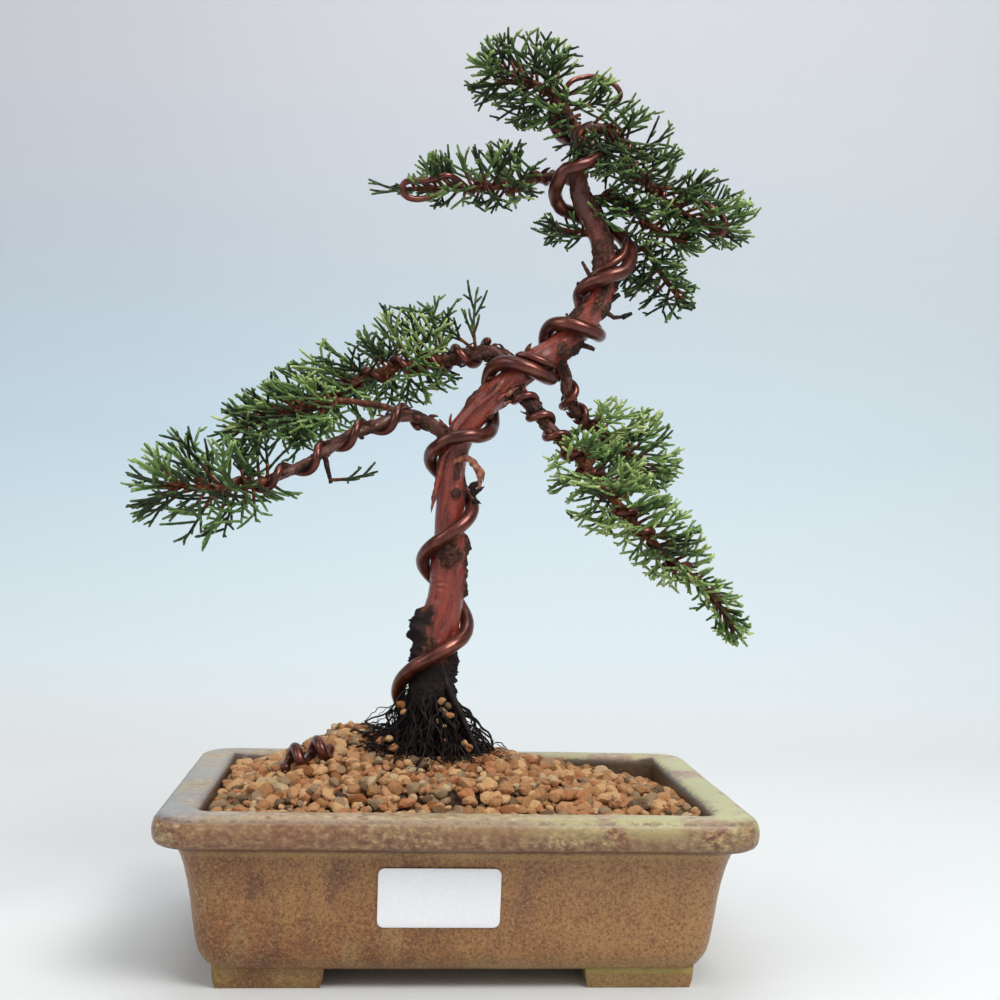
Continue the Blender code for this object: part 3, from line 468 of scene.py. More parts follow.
def wire_material():
    """Brown anodised aluminium wire, a little scratched."""
    s = Shader("wire_brown", Metallic=0.75, Coat_Weight=0.35, Coat_Roughness=0.22)
    place = s.place()
    cloud = s.noise(place, 160.0, 3.0)
    scratch = s.noise(place, (1500.0, 1500.0, 420.0), 3.0)
    brown = s.ramp(cloud, (0.35, "#47201a"), (0.6, "#69352a"), (0.8, "#844d3d"))
    s.colour(s.tinted(brown, (scratch, 0.62, 0.8, 0.35, "#4a211c")))
    s.roughness(s.between(scratch, 0.3, 0.8, 0.26, 0.44))
    s.bump(scratch, 0.05 * MM, 0.4)
    return s.material


def glaze_material():
    """Speckled brown glaze, cream and purple-brown on the lip, with olive and grey-blue runs, painted light
    on its right side, a painted shadow under the lip and painted shade inside the wall.
    """
    s = Shader("pot_glaze", Coat_Weight=0.2, Coat_Roughness=0.3, Specular_IOR_Level=0.4)
    place = s.place()
    x, y, z = (s.times(s.separate(place, axis), 1.0 / MM) for axis in "XYZ")
    cloud = s.noise(place, 26.0, 6.0, 0.62)
    streaks = s.noise(place, (85.0, 85.0, 20.0), 5.0, 0.62)
    grit = s.noise(place, 930.0, 5.0, 0.8)
    mottle = s.noise(place, (330.0, 330.0, 480.0), 6.0, 0.72)
    fine = s.noise(place, 1100.0, 4.0, 0.7)
    speck = s.noise(place, 2100.0, 2.0, 0.7)
    body = s.ramp(cloud, (0.32, "#613517"), (0.50, "#7f4f28"), (0.68, "#96693c"))
    # The third tint lightens the body towards +X as painted light, on the side where the light falls.
    body = s.tinted(
        body, (streaks, 0.51, 0.65, 0.8, "#5a3325"), (streaks, 0.47, 0.34, 0.5, "#9a8050"),
        (x, -40.0, 90.0, 0.6, "#a77c50"), (grit, 0.50, 0.62, 0.8, "#4c2717"),
        (grit, 0.47, 0.37, 0.62, "#ad8850"), (speck, 0.60, 0.70, 0.6, "#c2a469"))
    # The dark band from 47.2 to 50.9 mm is a painted shadow under the lip's ledge.
    body = s.marked(
        body, ("#8a8048", s.between(z, 14.0, 6.0), s.between(cloud, 0.40, 0.60), 0.35),
        ("#a48f52", s.band(z, 45.2, 46.6, 47.2, 48.4), s.between(cloud, 0.38, 0.56), 0.32),
        ("#41261b", s.band(z, 47.2, 48.8, 49.6, 50.9), 0.85),
        ("#a5964e", s.band(z, 4.6, 5.4, 6.4, 7.4), s.between(x, 0.0, 60.0, 0.1, 0.8),
         s.between(mottle, 0.36, 0.50)))
    lip = s.ramp(mottle, (0.36, "#452620"), (0.46, "#704a35"), (0.55, "#927652"), (0.68, "#b4a87c"))
    lip = s.tinted(lip, (cloud, 0.44, 0.62, 0.55, "#7b5038"), (fine, 0.52, 0.64, 0.5, "#5f4130"))
    top = s.ramp(mottle, (0.34, "#6a4d3b"), (0.46, "#977c61"), (0.58, "#ae987c"), (0.70, "#bfb497"))
    blue = s.times(s.between(x, -66.0, -92.0), s.between(s.noise(place, 70.0, 4.0), 0.36, 0.54))
    green = s.times(s.between(x, -5.0, 85.0, 0.15, 1.0), s.between(s.noise(place, 60.0, 3.0), 0.38, 0.52),
                    s.between(mottle, 0.60, 0.48, 0.35, 1.0))
    top = s.marked(top, ("#858b92", blue, 0.7), ("#b3b981", green, 0.8))
    lip = s.marked(lip, ("#b3b27c", green, s.between(z, 52.5, 57.0, 0.15, 1.0), 0.65))
    lip = s.mix(s.between(z, 57.8, 59.2), lip, top)
    # Painted shade: the inside of the wall, more than 14 mm in from the rim's outline, is darkened.
    inside_shade_x, inside_shade_y = (s.between(s.number("ABSOLUTE", value), half - 13.6, half - 14.3)
                          for value, half in ((x, POT_HALF_X), (y, POT_HALF_Y)))
    lip = s.marked(
        lip, ("#4b3027", s.band(z, 58.0, 58.7, 59.2, 59.9), s.between(mottle, 0.42, 0.56), 0.75),
        ("#3f2c21", inside_shade_x, inside_shade_y, 0.85))
    s.colour(s.mix(s.between(z, 49.6, 51.2), body, lip))
    s.roughness(s.between(fine, 0.35, 0.7, 0.34, 0.58))
    s.bump(s.mix(0.3, fine, mottle), 0.3 * MM, 0.6)
    return s.material


# Materials of one noise: roughness, gloss, the noise's scale and detail, its relief in millimetres
# and strength, and the colours along it
STREAKED = {
    "soil_dark": (0.95, 0.5, 420.0, 5.0, 1.0, 1.0,
                  ((0.3, "#1f140d"), (0.6, "#4a3220"), (0.8, "#7a5a3c"))),
    "root_dark": (0.6, 0.22, 420.0, 4.0, 0.4, 0.5,
                  ((0.35, "#060303"), (0.55, "#140a08"), (0.75, "#36221b"))),
    "twig_brown": (0.7, 0.3, 500.0, 4.0, 0.2, 0.5,
                   ((0.35, "#301509"), (0.55, "#5f3119"), (0.75, "#8f5b38"))),
    "bark_peel": (0.75, 0.3, 620.0, 4.0, 0.3, 0.5,
                  ((0.34, "#5a2a1f"), (0.52, "#8a5643"), (0.72, "#b38c75"))),
}


def streaked_material(name):
    """Dark soil crumbs, wet black-brown roots, orange-brown twigs or tan inner bark."""
    roughness, gloss, scale, detail, relief, strength, colours = STREAKED[name]
    s = Shader(name, Roughness=roughness, Specular_IOR_Level=gloss)
    streak = s.noise(s.place(), scale, detail)
    s.colour(s.ramp(streak, *colours))
    s.bump(streak, relief * MM, strength)
    return s.material


def stone_material(number, code):
    """One colour of grain, dusty and pitted."""
    s = Shader(f"grain_{number}", Base_Color=linear(code), Roughness=0.85, Specular_IOR_Level=0.3)
    s.bump(s.noise(s.place(), 480.0, 6.0, 0.75), 0.9 * MM, 0.8)
    return s.material


# ---------------------------------------------------------------- meshes

class Batch:
    """The vertices and faces of one piece, with a material number for each face."""

    def __init__(self):
        self.points, self.faces, self.extras = [], {3: [], 4: []}, {}
        self.count = 0

    def add(self, points, quads=None, tris=None, tint=0, tri_tint=None, **extras):
        """Add a part; tints are one number or one for each face."""
        points = np.asarray(points, float).reshape(-1, 3)
        for size, faces, marks in ((4, quads, tint), (3, tris, tint if tri_tint is None else tri_tint)):
            if faces is None or not len(faces):
                continue
            faces = np.asarray(faces) + self.count
            marks = np.broadcast_to(np.asarray(marks), len(faces))
            self.faces[size].append((faces, marks))
        self.points.append(points)
        for name, values in extras.items():
            self.extras.setdefault(name, []).append(values)
        self.count += len(points)

    def piece(self, name, materials, slot, replaces=(), flat=False):
        """Make the piece; it rides on the tree's body."""
        points = np.concatenate(self.points) * MM
        loops, starts, marks, at = [], [], [], 0
        for size, groups in self.faces.items():
            for faces, tints in groups:
                loops.append(faces.ravel())
                starts.append(at + size * np.arange(len(faces)))
                marks.append(tints)
                at += faces.size
        mesh = bpy.data.meshes.new(name)
        mesh.vertices.add(len(points))
        mesh.vertices.foreach_set("co", points.astype(np.float32).ravel())
        mesh.loops.add(at)
        mesh.loops.foreach_set("vertex_index", np.concatenate(loops).astype(np.int32))
        starts = np.concatenate(starts)
        mesh.polygons.add(len(starts))
        mesh.polygons.foreach_set("loop_start", starts.astype(np.int32))
        mesh.polygons.foreach_set("material_index", np.concatenate(marks).astype(np.int32))
        for extra, parts in self.extras.items():
            values = np.concatenate(parts).astype(np.float32)
            kind = "FLOAT" if values.ndim == 1 else "FLOAT_VECTOR"
            attribute = mesh.attributes.new(extra, kind, "POINT")
            attribute.data.foreach_set("value" if kind == "FLOAT" else "vector", values.ravel())
        mesh.update(calc_edges=True)
        mesh.validate()
        if flat:
            mesh.shade_flat()
        else:
            mesh.shade_smooth()
        return place_piece(name, mesh, materials, replaces)


def linked(name, data):
    """A new object in the scene."""
    obj = bpy.data.objects.new(name, data)
    bpy.context.scene.collection.objects.link(obj)
    return obj


def place_piece(name, mesh, materials, replaces):
    """Put a mesh in the scene as a piece of the tree."""
    for material in materials if isinstance(materials, list) else [materials]:
        mesh.materials.append(material)
    obj = linked(name, mesh)
    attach(obj, BODY)
    if replaces:
        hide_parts(*replaces)
    return obj


FRONT = np.array([0.0, -1.0, 0.0])
UP = np.array([0.0, 0.0, 1.0])


def unit(vector):
    """The vector at length 1, or each row of an array of vectors."""
    return vector / np.linalg.norm(vector, axis=-1, keepdims=True)


def travelled(points):
    """How far along a line each of its points lies."""
    return np.concatenate([[0.0], np.cumsum(np.linalg.norm(np.diff(points, axis=0), axis=1))])


def smooth(way, spacing):
    """Points about `spacing` apart on a smooth curve through the waypoints (rows of any width)."""
    way = np.array(way, float)
    ends = np.vstack([2 * way[0] - way[1], way, 2 * way[-1] - way[-2]])
    fine = []
    for a, b, c, d in zip(ends, ends[1:], ends[2:], ends[3:]):
        for t in np.arange(0.0, 1.0, 0.05):
            fine.append(0.5 * (2 * b + (c - a) * t + (2 * a - 5 * b + 4 * c - d) * t ** 2
                               + (3 * b - a - 3 * c + d) * t ** 3))
    fine = np.array(fine + [way[-1]])
    along = travelled(fine[:, :3])
    steps = max(2, round(along[-1] / spacing))
    even = np.linspace(0.0, along[-1], steps + 1)
    return np.column_stack([np.interp(even, along, column) for column in fine.T])


class Limb:
    """A tapering limb: the points of its centreline and the radius at each."""

    def __init__(self, way, spacing):
        rows = smooth(way, spacing)
        self.points, self.radii = rows[:, :3], rows[:, 3]
        self.along = travelled(self.points)
        self.length = self.along[-1]

    def centre(self, distance):
        """The centre at a distance from the root, or a row for each of many distances."""
        return np.array([np.interp(distance, self.along, column) for column in self.points.T]).T

    def radius(self, distance):
        """The radius at one or many distances from the root."""
        return np.interp(distance, self.along, self.radii)

    def at(self, distance):
        """Centre, radius and direction at a distance from the root."""
        ahead = unit(self.centre(distance + 1.0) - self.centre(distance - 1.0))
        return self.centre(distance), float(self.radius(distance)), ahead

    def round_at(self, distance, angle, offset):
        """The point `offset` from the centreline, at an angle from the limb's front side."""
        centre, _, direction = self.at(distance)
        front = unit(FRONT - direction * FRONT.dot(direction))
        side = np.cross(direction, front)
        return centre + offset * (math.cos(angle) * front + math.sin(angle) * side)


def tapered(way, root_radius, tip_radius):
    """Waypoints with a radius that falls evenly from the root to the tip."""
    way = np.array(way, float)
    along = travelled(way)
    return np.column_stack([way, root_radius + (tip_radius - root_radius) * along / along[-1]])


def frames(points):
    """Two unit vectors square to a curve at each point, carried along it without twisting."""
    ahead = unit(np.gradient(points, axis=0))
    front = UP if abs(ahead[0].dot(FRONT)) > 0.9 else FRONT
    normals = []
    for direction in ahead:
        front = unit(front - direction * front.dot(direction))
        normals.append(front)
    normals = np.array(normals)
    return normals, np.cross(ahead, normals)


def circle(sides):
    """The angles of a ring's points."""
    return 2 * math.pi * np.arange(sides) / sides


def ring_faces(rings, sides):
    """Quads between the rings of a tube and the two fans that close it."""
    ring = np.arange(sides)
    after = (ring + 1) % sides
    quads = []
    for step in range(rings - 1):
        base = step * sides
        above = base + sides
        quads.append(np.column_stack([base + ring, base + after, above + after, above + ring]))
    last = (rings - 1) * sides
    fan = np.column_stack([np.zeros(sides - 2, int), np.arange(1, sides - 1), np.arange(2, sides)])
    return np.concatenate(quads), np.concatenate([fan[:, ::-1], last + fan])


def add_tube(batch, points, radii, sides, **extras):
    """Add a closed tube; radii is one for each point, or one for each point and side."""
    points = np.asarray(points, float)
    radii = np.asarray(radii, float)
    if radii.ndim == 1:
        radii = np.repeat(radii[:, None], sides, axis=1)
    first, second = frames(points)
    angles = circle(sides)
    out = (np.cos(angles)[None, :, None] * first[:, None, :]
           + np.sin(angles)[None, :, None] * second[:, None, :])
    verts = points[:, None, :] + radii[:, :, None] * out
    quads, caps = ring_faces(len(points), sides)
    batch.add(verts, quads, caps, **extras)


def ripple(points, scale, seed=0.0):
    """Smooth noise from -1 to 1 at each row of points."""
    shift = Vector((seed, 2.7 * seed, -1.3 * seed))
    rows = np.asarray(points).reshape(-1, 3)
    return np.array([noise.noise(Vector(row) * scale + shift) for row in rows])


# ---------------------------------------------------------------- trunk, boughs and roots

# Swellings of the trunk: height, angle from the front in degrees (+ towards +X), spread along and
# round, how far they stand out, and how dark they are
TRUNK_BUMPS = (
    (144.5, 4, 4.6, 5, 2, 0.62), (141, 75, 7, 2.2, 1.4, 0.75), (131, 80, 3, 2, 1.3, 0.75),
    (148.5, 78, 3, 2, 1.8, 0.75), (117, -80, 5.4, 3.8, 3.4, 1), (119, -45, 5, 2.6, 0.5, 0.9),
    (110, -62, 7, 4.4, 1.2, 1), (112, 75, 5, 2.6, 0.8, 0.9), (166.8, 20, 2.1, 2, 1.3, 0.7),
    (172, -75, 9, 2.4, 0.5, 0.5), (168, 80, 6, 2.4, 0.9, 0.7), (96, 60, 5, 4, 2, 1),
    (104, 78, 4, 3, 1.8, 1), (199.5, -100, 6, 3, 0.7, 0.6), (221, 15, 2.8, 2.8, 1.1, 0.65),
    (207.5, 60, 3.6, 3, 1.2, 0.8), (224, 70, 5, 3.4, 1.2, 0.8), (238, 60, 3.4, 3, 1.2, 0.8),
    (231, -80, 6, 2.6, 1, 0.75), (249, 55, 4, 3.4, 1.6, 0.9), (256, -60, 10, 3.4, 1, 0.7),
    (247, 0, 1.6, 1.5, 0.4, 0.7), (272, 60, 5, 3, 0.6, 0.6), (262, 20, 6, 3.4, 0.3, 0.6),
    (198, -20, 1.4, 1.3, 1.1, 0.2),
)
WRINKLES = (133.0, -35, 3.4, 4.5)
TRUNK_DARK_BELOW = 108.0
TRUNK_FIBRES = 0.11
TRUNK_LUMPS = 0.5
TRUNK_CRAGS = 1.5
TRUNK_SIDES = 76
TRUNK_RING_SPACING = 0.55
SCAR_START = 185.0               # height above which more old bark is left in patches
SCAR_REACH = 60.0
THINNEST_TRUNK = 0.5
ROOT_SIDES = 16
BOUGH_SIDES = 22
BOUGH_RING_SPACING = 0.7
BOUGH_FLARE = (0.45, 4.0)        # how much wider a bough is at the trunk, and how far that reaches
THINNEST_LIMB = 0.25


def bark_place(radii, along, sides):
    """Where each point of a limb's surface lies on its bark: two ways across and one along."""
    angles = circle(sides)
    return np.stack([np.cos(angles) * radii[:, None], np.sin(angles) * radii[:, None],
                     np.repeat(along[:, None], sides, axis=1)], axis=2).reshape(-1, 3)


def trunk_piece(limb, bark):
    """The trunk with the relief of its bark, knots and roots."""
    rings = round(limb.length / TRUNK_RING_SPACING)
    distances = np.linspace(0.0, limb.length, rings)
    points, radii = limb.centre(distances), limb.radius(distances)
    grain = bark_place(radii, distances, TRUNK_SIDES)
    shape = (rings, TRUNK_SIDES)
    length, heights = distances[:, None], points[:, 2:]

    def field(stretch, scale, seed):
        """Noise over the bark, stretched along the trunk."""
        return ripple(grain * (1.0, 1.0, stretch), scale, seed).reshape(shape)

    fibres = field(0.10, 1.1, 3.0) + 0.5 * field(0.14, 2.6, 5.0)
    lumps = field(0.5, 0.23, 9.0)
    crags = np.abs(field(0.35, 0.55, 12.0)) + 0.6 * field(1.0, 1.2, 15.0)
    low = 1.0 / (1.0 + np.exp((heights + 7 * lumps - TRUNK_DARK_BELOW) / 2.0))
    upper = np.clip((heights - SCAR_START) / SCAR_REACH, 0.0, 1.0)
    scars = np.clip((field(0.3, 0.20, 31.0) - 0.32 + 0.22 * upper) / 0.2, 0.0, 1.0)
    relief = TRUNK_FIBRES * fibres + TRUNK_LUMPS * lumps + TRUNK_CRAGS * low * crags
    relief += scars * (0.25 + 0.7 * crags)
    dark = np.maximum(low, 0.55 * scars)
    turned = np.degrees(circle(TRUNK_SIDES))
    jag_up, jag_round = field(1.0, 0.4, 24.0), field(1.0, 0.35, 21.0)
    for height, angle, spread_up, spread_round, rise, darkness in TRUNK_BUMPS:
        size = max(0.0, min(spread_up, 5.0) - 2.0)
        near = nearness(length + 0.8 * size * jag_up, points, distances, radii,
                        turned + 5.0 * size * jag_round, height, angle, spread_up, spread_round)
        relief += near * (0.8 * rise + min(rise, 1.3) * crags)
        dark = np.maximum(dark, darkness * np.minimum(1.0, 1.2 * near))
    near = nearness(length, points, distances, radii, turned, *WRINKLES)
    relief += 0.34 * near * np.sin(length * 2.6 + 2.0 * lumps)
    fade = np.clip((limb.length - distances) / 4.0, 0.1, 1.0)[:, None]
    batch = Batch()
    add_tube(batch, points, np.maximum(radii[:, None] + relief * fade, THINNEST_TRUNK), TRUNK_SIDES,
             grain=grain, dark=dark.ravel())
    for number, root in enumerate(ROOTS):
        add_root(batch, root, number)
    batch.piece("trunk_bark", bark, "bark", ["trunk"])


def nearness(length, points, distances, radii, turned, height, angle, spread_up, spread_round):
    """1 in the middle of a place on the trunk, falling to 0 around it."""
    turn = (turned - angle + 180) % 360 - 180
    arc = np.radians(turn) * radii[:, None] / spread_round
    up = (length - np.interp(height, points[:, 2], distances)) / spread_up
    return np.exp(-(up ** 2 + arc ** 2) ** 2.2)


def add_root(batch, root, number):
    """One surface root, running down from the trunk into the soil."""
    compass, reach, height, radius = root
    away = Vector((math.cos(math.radians(compass)), math.sin(math.radians(compass))))
    way = []
    for share_out, share_up in ROOT_COURSE:
        x, y = Vector(TRUNK_FOOT) + away * reach * share_out
        way.append((x, y, GROUND + (height - GROUND) * share_up))
    limb = Limb(tapered(way, radius, ROOT_TAPER * radius), 1.0)
    add_rough_limb(batch, limb.points, limb.radii, ROOT_SIDES, 0.35, 20.0 + number, 1.0)


def add_rough_limb(batch, points, radii, sides, roughness, seed, dark):
    """A limb whose surface is knobbly with bark."""
    grain = bark_place(radii, travelled(points), sides)
    relief = 0.7 * ripple(grain * (1.0, 1.0, 0.5), 0.75, seed) + 0.5 * ripple(grain, 1.7, seed + 3.0)
    relief = relief.reshape(len(points), sides) * roughness
    shade = np.clip(dark + 0.8 * ripple(grain * (1.0, 1.0, 0.4), 0.35, seed + 7.0), 0.0, 1.0)
    add_tube(batch, points, np.maximum(radii[:, None] + relief, THINNEST_LIMB), sides,
             grain=grain, dark=shade)


def bough_pieces(limbs, bark):
    """Each bough with its bark, wider where it leaves the trunk."""
    wider, reach = BOUGH_FLARE
    for number, (name, bough) in enumerate(BOUGHS.items()):
        limb = limbs[name]
        roughness, dark = bough["look"]
        distances = np.linspace(0.0, limb.length, round(limb.length / BOUGH_RING_SPACING))
        radii = limb.radius(distances) * (1 + wider * np.exp(-distances / reach))
        batch = Batch()
        add_rough_limb(batch, limb.centre(distances), radii, BOUGH_SIDES, roughness,
                       40.0 + 5 * number, dark)
        batch.piece(f"bark_{name}", bark, "bark", [name])


def clamp(share):
    """A share kept between 0 and 1."""
    return min(1.0, max(0.0, share))


def ease(share):
    """A share from 0 to 1 that starts and ends gently."""
    share = clamp(share)
    return share * share * (3 - 2 * share)


def soil_height(x, y):
    """Height of the soil: low at the wall and in the back right corner, flat under the roots."""
    fall, (start_x, reach_x), (start_y, reach_y) = SOIL_FALL
    level = SOIL_EDGE - fall * ease((x - start_x) / reach_x) * ease((y - start_y) / reach_y)
    wall = min(POT_HALF_X - RIM_FLAT - abs(x), POT_HALF_Y - RIM_FLAT - abs(y)) / WALL_BLEND
    for (centre_x, centre_y), (spread_x, spread_y), height in MOUNDS:
        far = ((x - centre_x) / spread_x) ** 2 + ((y - centre_y) / spread_y) ** 2
        level += height * math.exp(-far) * clamp(wall)
    coarse = noise.noise(Vector((x, y, 0.0)) / RELIEF_WIDTH)
    level += RELIEF_HEIGHT * coarse * clamp(2 * wall)
    blend = ease((math.hypot(x - TRUNK_FOOT[0], y - TRUNK_FOOT[1]) - ROOT_DISC) / DISC_BLEND)
    return (GROUND - GAP) * (1 - blend) + level * blend


STRUT_ROOT = ((-5.5, -5, 103), (-2.6, -7, 95), (0.8, -9, 88), (5.2, -11, 79), (9.6, -13.5, 70))
LONG_HAIRS = (
    ((-15, -3, 92), (-18.6, -4, 93.6), (-24.6, -8, 86), (-30.3, -12, 84.3), (-32.7, -14, 83.1)),
    ((0, -8, 86), (2.5, -8, 82.7), (7.1, -10, 81.2), (11.8, -12, 78.3), (13.6, -13, 76.3), (11.8, -14, 71)),
)
HAIR_COUNT = 780
HAIR_SIDES = 4
LONG_HAIR_SIDES = 5
STRUT_SIDES = 10
HAIR_SPACING = 1.8
HAIR_WOBBLE = 0.6
HAIR_JOG = 2.2
HAIR_TOPS = (72.0, 25.0)         # the lowest start of a fine root, and how far others start above
HAIR_RADII = (0.15, 0.18, 0.22, 0.26, 0.34, 0.6)


def root_hair_piece(dark):
    """The mat of fine roots round the trunk's foot."""
    dice = random.Random(7)
    batch = Batch()
    strut = Limb(tapered(STRUT_ROOT, 1.5, 0.8), 1.0)
    add_tube(batch, strut.points, strut.radii * (1 + 0.12 * ripple(strut.points, 0.9)), STRUT_SIDES)
    for way in LONG_HAIRS:
        hair = Limb(tapered(way, 0.5, 0.3), 1.5)
        add_tube(batch, hair.points, hair.radii, LONG_HAIR_SIDES)
    for _ in range(HAIR_COUNT):
        hair = Limb(root_hair_way(dice), HAIR_SPACING)
        wobble = np.array([random_step(dice, HAIR_WOBBLE) for _ in hair.points])
        wobble[[0, -1]] = 0.0
        add_tube(batch, hair.points + wobble, hair.radii, HAIR_SIDES)
    batch.piece("fine_roots", dark, "bark")


def random_step(dice, size):
    """A small random vector, up to `size` along each axis."""
    return np.array([dice.uniform(-size, size) for _ in range(3)])


def root_hair_way(dice):
    """The way of one fine root, from the trunk's foot down over the soil."""
    lowest, spread = HAIR_TOPS
    compass = dice.uniform(0, 2 * math.pi)
    top = lowest + spread * dice.random() ** 1.8
    away = np.array([math.cos(compass), math.sin(compass), 0.0])
    around = np.array([-away[1], away[0], 0.0])
    foot = np.array([*TRUNK_FOOT, 0.0])
    reach = 10.0 + dice.uniform(0.0, 1.0) ** 1.5 * (19.0 - 0.4 * (top - lowest))
    wander = 22.0 if dice.random() < 0.35 else 9.0
    end = foot + away * reach + around * dice.uniform(-wander, wander)
    end[2] = soil_height(end[0], end[1]) + dice.uniform(0.3, 3.0)
    start = foot + away * dice.uniform(4.0, 7.5)
    start[2] = top
    way = [start]
    for share in (0.25, 0.5, 0.75):
        belly = away * dice.uniform(0.2, 4.0) * math.sin(math.pi * share)
        way.append(start + (end - start) * share + belly + random_step(dice, HAIR_JOG))
    way.append(end)
    thick = dice.choice(HAIR_RADII)
    return tapered(way, thick, 0.6 * thick)


# Dead stubs and snags on the trunk: root, tip and radius
SNAGS = (
    ((52, 0, 236.8), (56.6, 2, 234.3), 1.1), ((56.2, 2, 234.4), (60.5, 3, 235), 0.9),
    ((60, 3, 234.9), (63.6, 4, 236.6), 1.1), ((35.5, -4, 226), (34.2, -4.5, 231.2), 1.5),
    ((39.5, -3, 230), (37.8, -3, 234.6), 0.8), ((46.5, -1, 249.5), (43.4, -1, 254.6), 0.9),
    ((48.5, -1, 243.5), (41.6, -1.5, 246.3), 1.2), ((43, -5, 223), (48.2, -6.5, 221), 1.2),
    ((54, 0, 240), (58, -1, 243), 1.4), ((46, -2, 240), (42.5, -3, 241.5), 0.9),
    ((-49.5, -20.5, 178), (-47, -21, 168.2), 1.1),
)
# Strips of bark that peel off: points with half widths, and how dark they are
PEELS = (
    (((-3.5, -9, 184, 0.6), (-6.4, -9, 180.1, 0.8), (-8.6, -8.6, 171.5, 0.8), (-10, -7.8, 164, 0.9),
      (-10.9, -7, 158.9, 0.1)), 0.15),
    (((-4.2, -9.2, 176, 0.3), (-1.5, -10, 178.5, 0.9), (2, -9.6, 178.9, 1.3), (5, -8.6, 176.3, 1.5),
      (6.6, -7.6, 172.5, 1.1), (6.6, -6.6, 168.9, 0.7), (6, -6, 166.2, 0.1)), None),
    (((6, -8.2, 176, 0.8), (7.8, -7.6, 174.2, 0.7), (8, -7.2, 170.6, 0.1)), None),
    (((14, -10.6, 205, 0.7), (4, -11, 197.5, 0.7), (-3, -10, 188.5, 0.5), (-4.5, -9.4, 186, 0.1)), 0.3),
)
# Small torn flakes of bark: root, tip, half width and how dark they are; None is pale inner bark
TORN_FLAKES = (
    ((9, -10.4, 203.5), (12.6, -12.6, 208.4), 0.7, 0.1),
    ((11.5, -10.8, 203), (14.6, -12.8, 208.8), 0.9, None),
    ((13.5, -10.8, 202.6), (17.6, -12.8, 207.4), 0.8, 0.3),
    ((15.5, -10.8, 202.2), (19.8, -12.4, 205.4), 1, None),
    ((17, -10, 200), (21.2, -11.6, 202), 0.8, 0.2), ((12, -10.8, 200), (15.6, -12.2, 203.2), 0.7, 0.1),
    ((14.5, -10.8, 199), (18.6, -12, 200.2), 0.7, None),
    ((3.8, -5.6, 166.5), (7.2, -6.8, 172.2), 0.9, 0.9),
    ((4.2, -5.2, 165.5), (8.6, -6.2, 169), 1.1, 0.9), ((4.2, -5, 163.5), (7.6, -5.8, 162.6), 0.9, 0.9),
    ((3.6, -6, 168), (5.6, -7.4, 170.8), 1.2, 0.9),
)
# Loose scraps of bark on each limb: how many, and the first and last share of its length
FLAKES_ON_LIMBS = {
    "trunk": (60, 0.42, 0.97), "bough_left_high": (34, 0.1, 1.0), "bough_left_low": (26, 0.05, 1.0),
    "bough_right_low": (26, 0.1, 1.0), "bough_right_middle": (24, 0.1, 1.0),
    "bough_top_left": (6, 0.2, 1.0), "bough_top_right": (6, 0.2, 1.0),
}
STRIP_THICKNESS = 0.3
STRIP_SPACING = 0.6
STRIP_SECTION = ((-1, -1), (0, -1), (1, -1), (1, 1), (0, 1), (-1, 1))   # across, inner or outer face
TORN_BULGE = (0.0, -0.7, 0.4)
TORN_TIP_WIDTH = 0.12
FLAKE_LENGTHS = (1.6, 4.2)
FLAKE_LIFTS = (0.12, 0.6)
FLAKE_WIDTHS = (0.4, 1.0)
FLAKE_SHADES = (0.3, 0.8)
FLAKE_TIP_WIDTH = 0.1
SNAG_SIDES = 10
SNAG_SPACING = 0.6


def snag_piece(bark):
    """Short dead stubs, darker than the bark around them."""
    batch = Batch()
    for number, (root, tip, radius) in enumerate(SNAGS):
        limb = Limb(tapered((root, tip), radius, 0.6 * radius), SNAG_SPACING)
        add_rough_limb(batch, limb.points, limb.radii, SNAG_SIDES, 0.25 * radius, 90.0 + number, 0.8)
    batch.piece("dead_stubs", bark, "bark")


def add_strip(batch, rows, seed, shade, tint=0):
    """A thin curling strip of bark along rows of points with half widths."""
    points, widths = rows[:, :3], rows[:, 3]
    ahead = unit(np.gradient(points, axis=0))
    sideways = unit(np.cross(ahead, FRONT))
    normal = unit(np.cross(sideways, ahead))
    torn = 0.35 * widths * ripple(points, 0.6, seed)
    edge = []
    for side, face in STRIP_SECTION:
        width = widths + torn * (1.4 if side > 0 else 0.6)
        bulge = 0.2 * (1 - abs(side)) * widths
        edge.append(points + sideways * (side * width)[:, None]
                    + normal * (face * STRIP_THICKNESS / 2 + bulge)[:, None])
    quads, caps = ring_faces(len(points), len(STRIP_SECTION))
    grain = np.repeat(points, len(STRIP_SECTION), axis=0)
    batch.add(np.stack(edge, axis=1), quads, caps, tint, grain=grain, dark=np.full(len(grain), shade))


def peel_piece(pale, bark):
    """Thin strips and torn flakes of bark that curl away from the trunk."""
    batch = Batch()
    strips = [(smooth(way, STRIP_SPACING), shade) for way, shade in PEELS]
    for root, tip, width, shade in TORN_FLAKES:
        middle = np.add(root, tip) / 2 + TORN_BULGE
        way = ((*root, width), (*middle, 0.8 * width), (*tip, TORN_TIP_WIDTH))
        strips.append((smooth(way, STRIP_SPACING), shade))
    for number, (rows, shade) in enumerate(strips):
        add_strip(batch, rows, number, shade or 0.0, int(shade is not None))
    batch.piece("peeling_bark", [pale, bark], "bark")


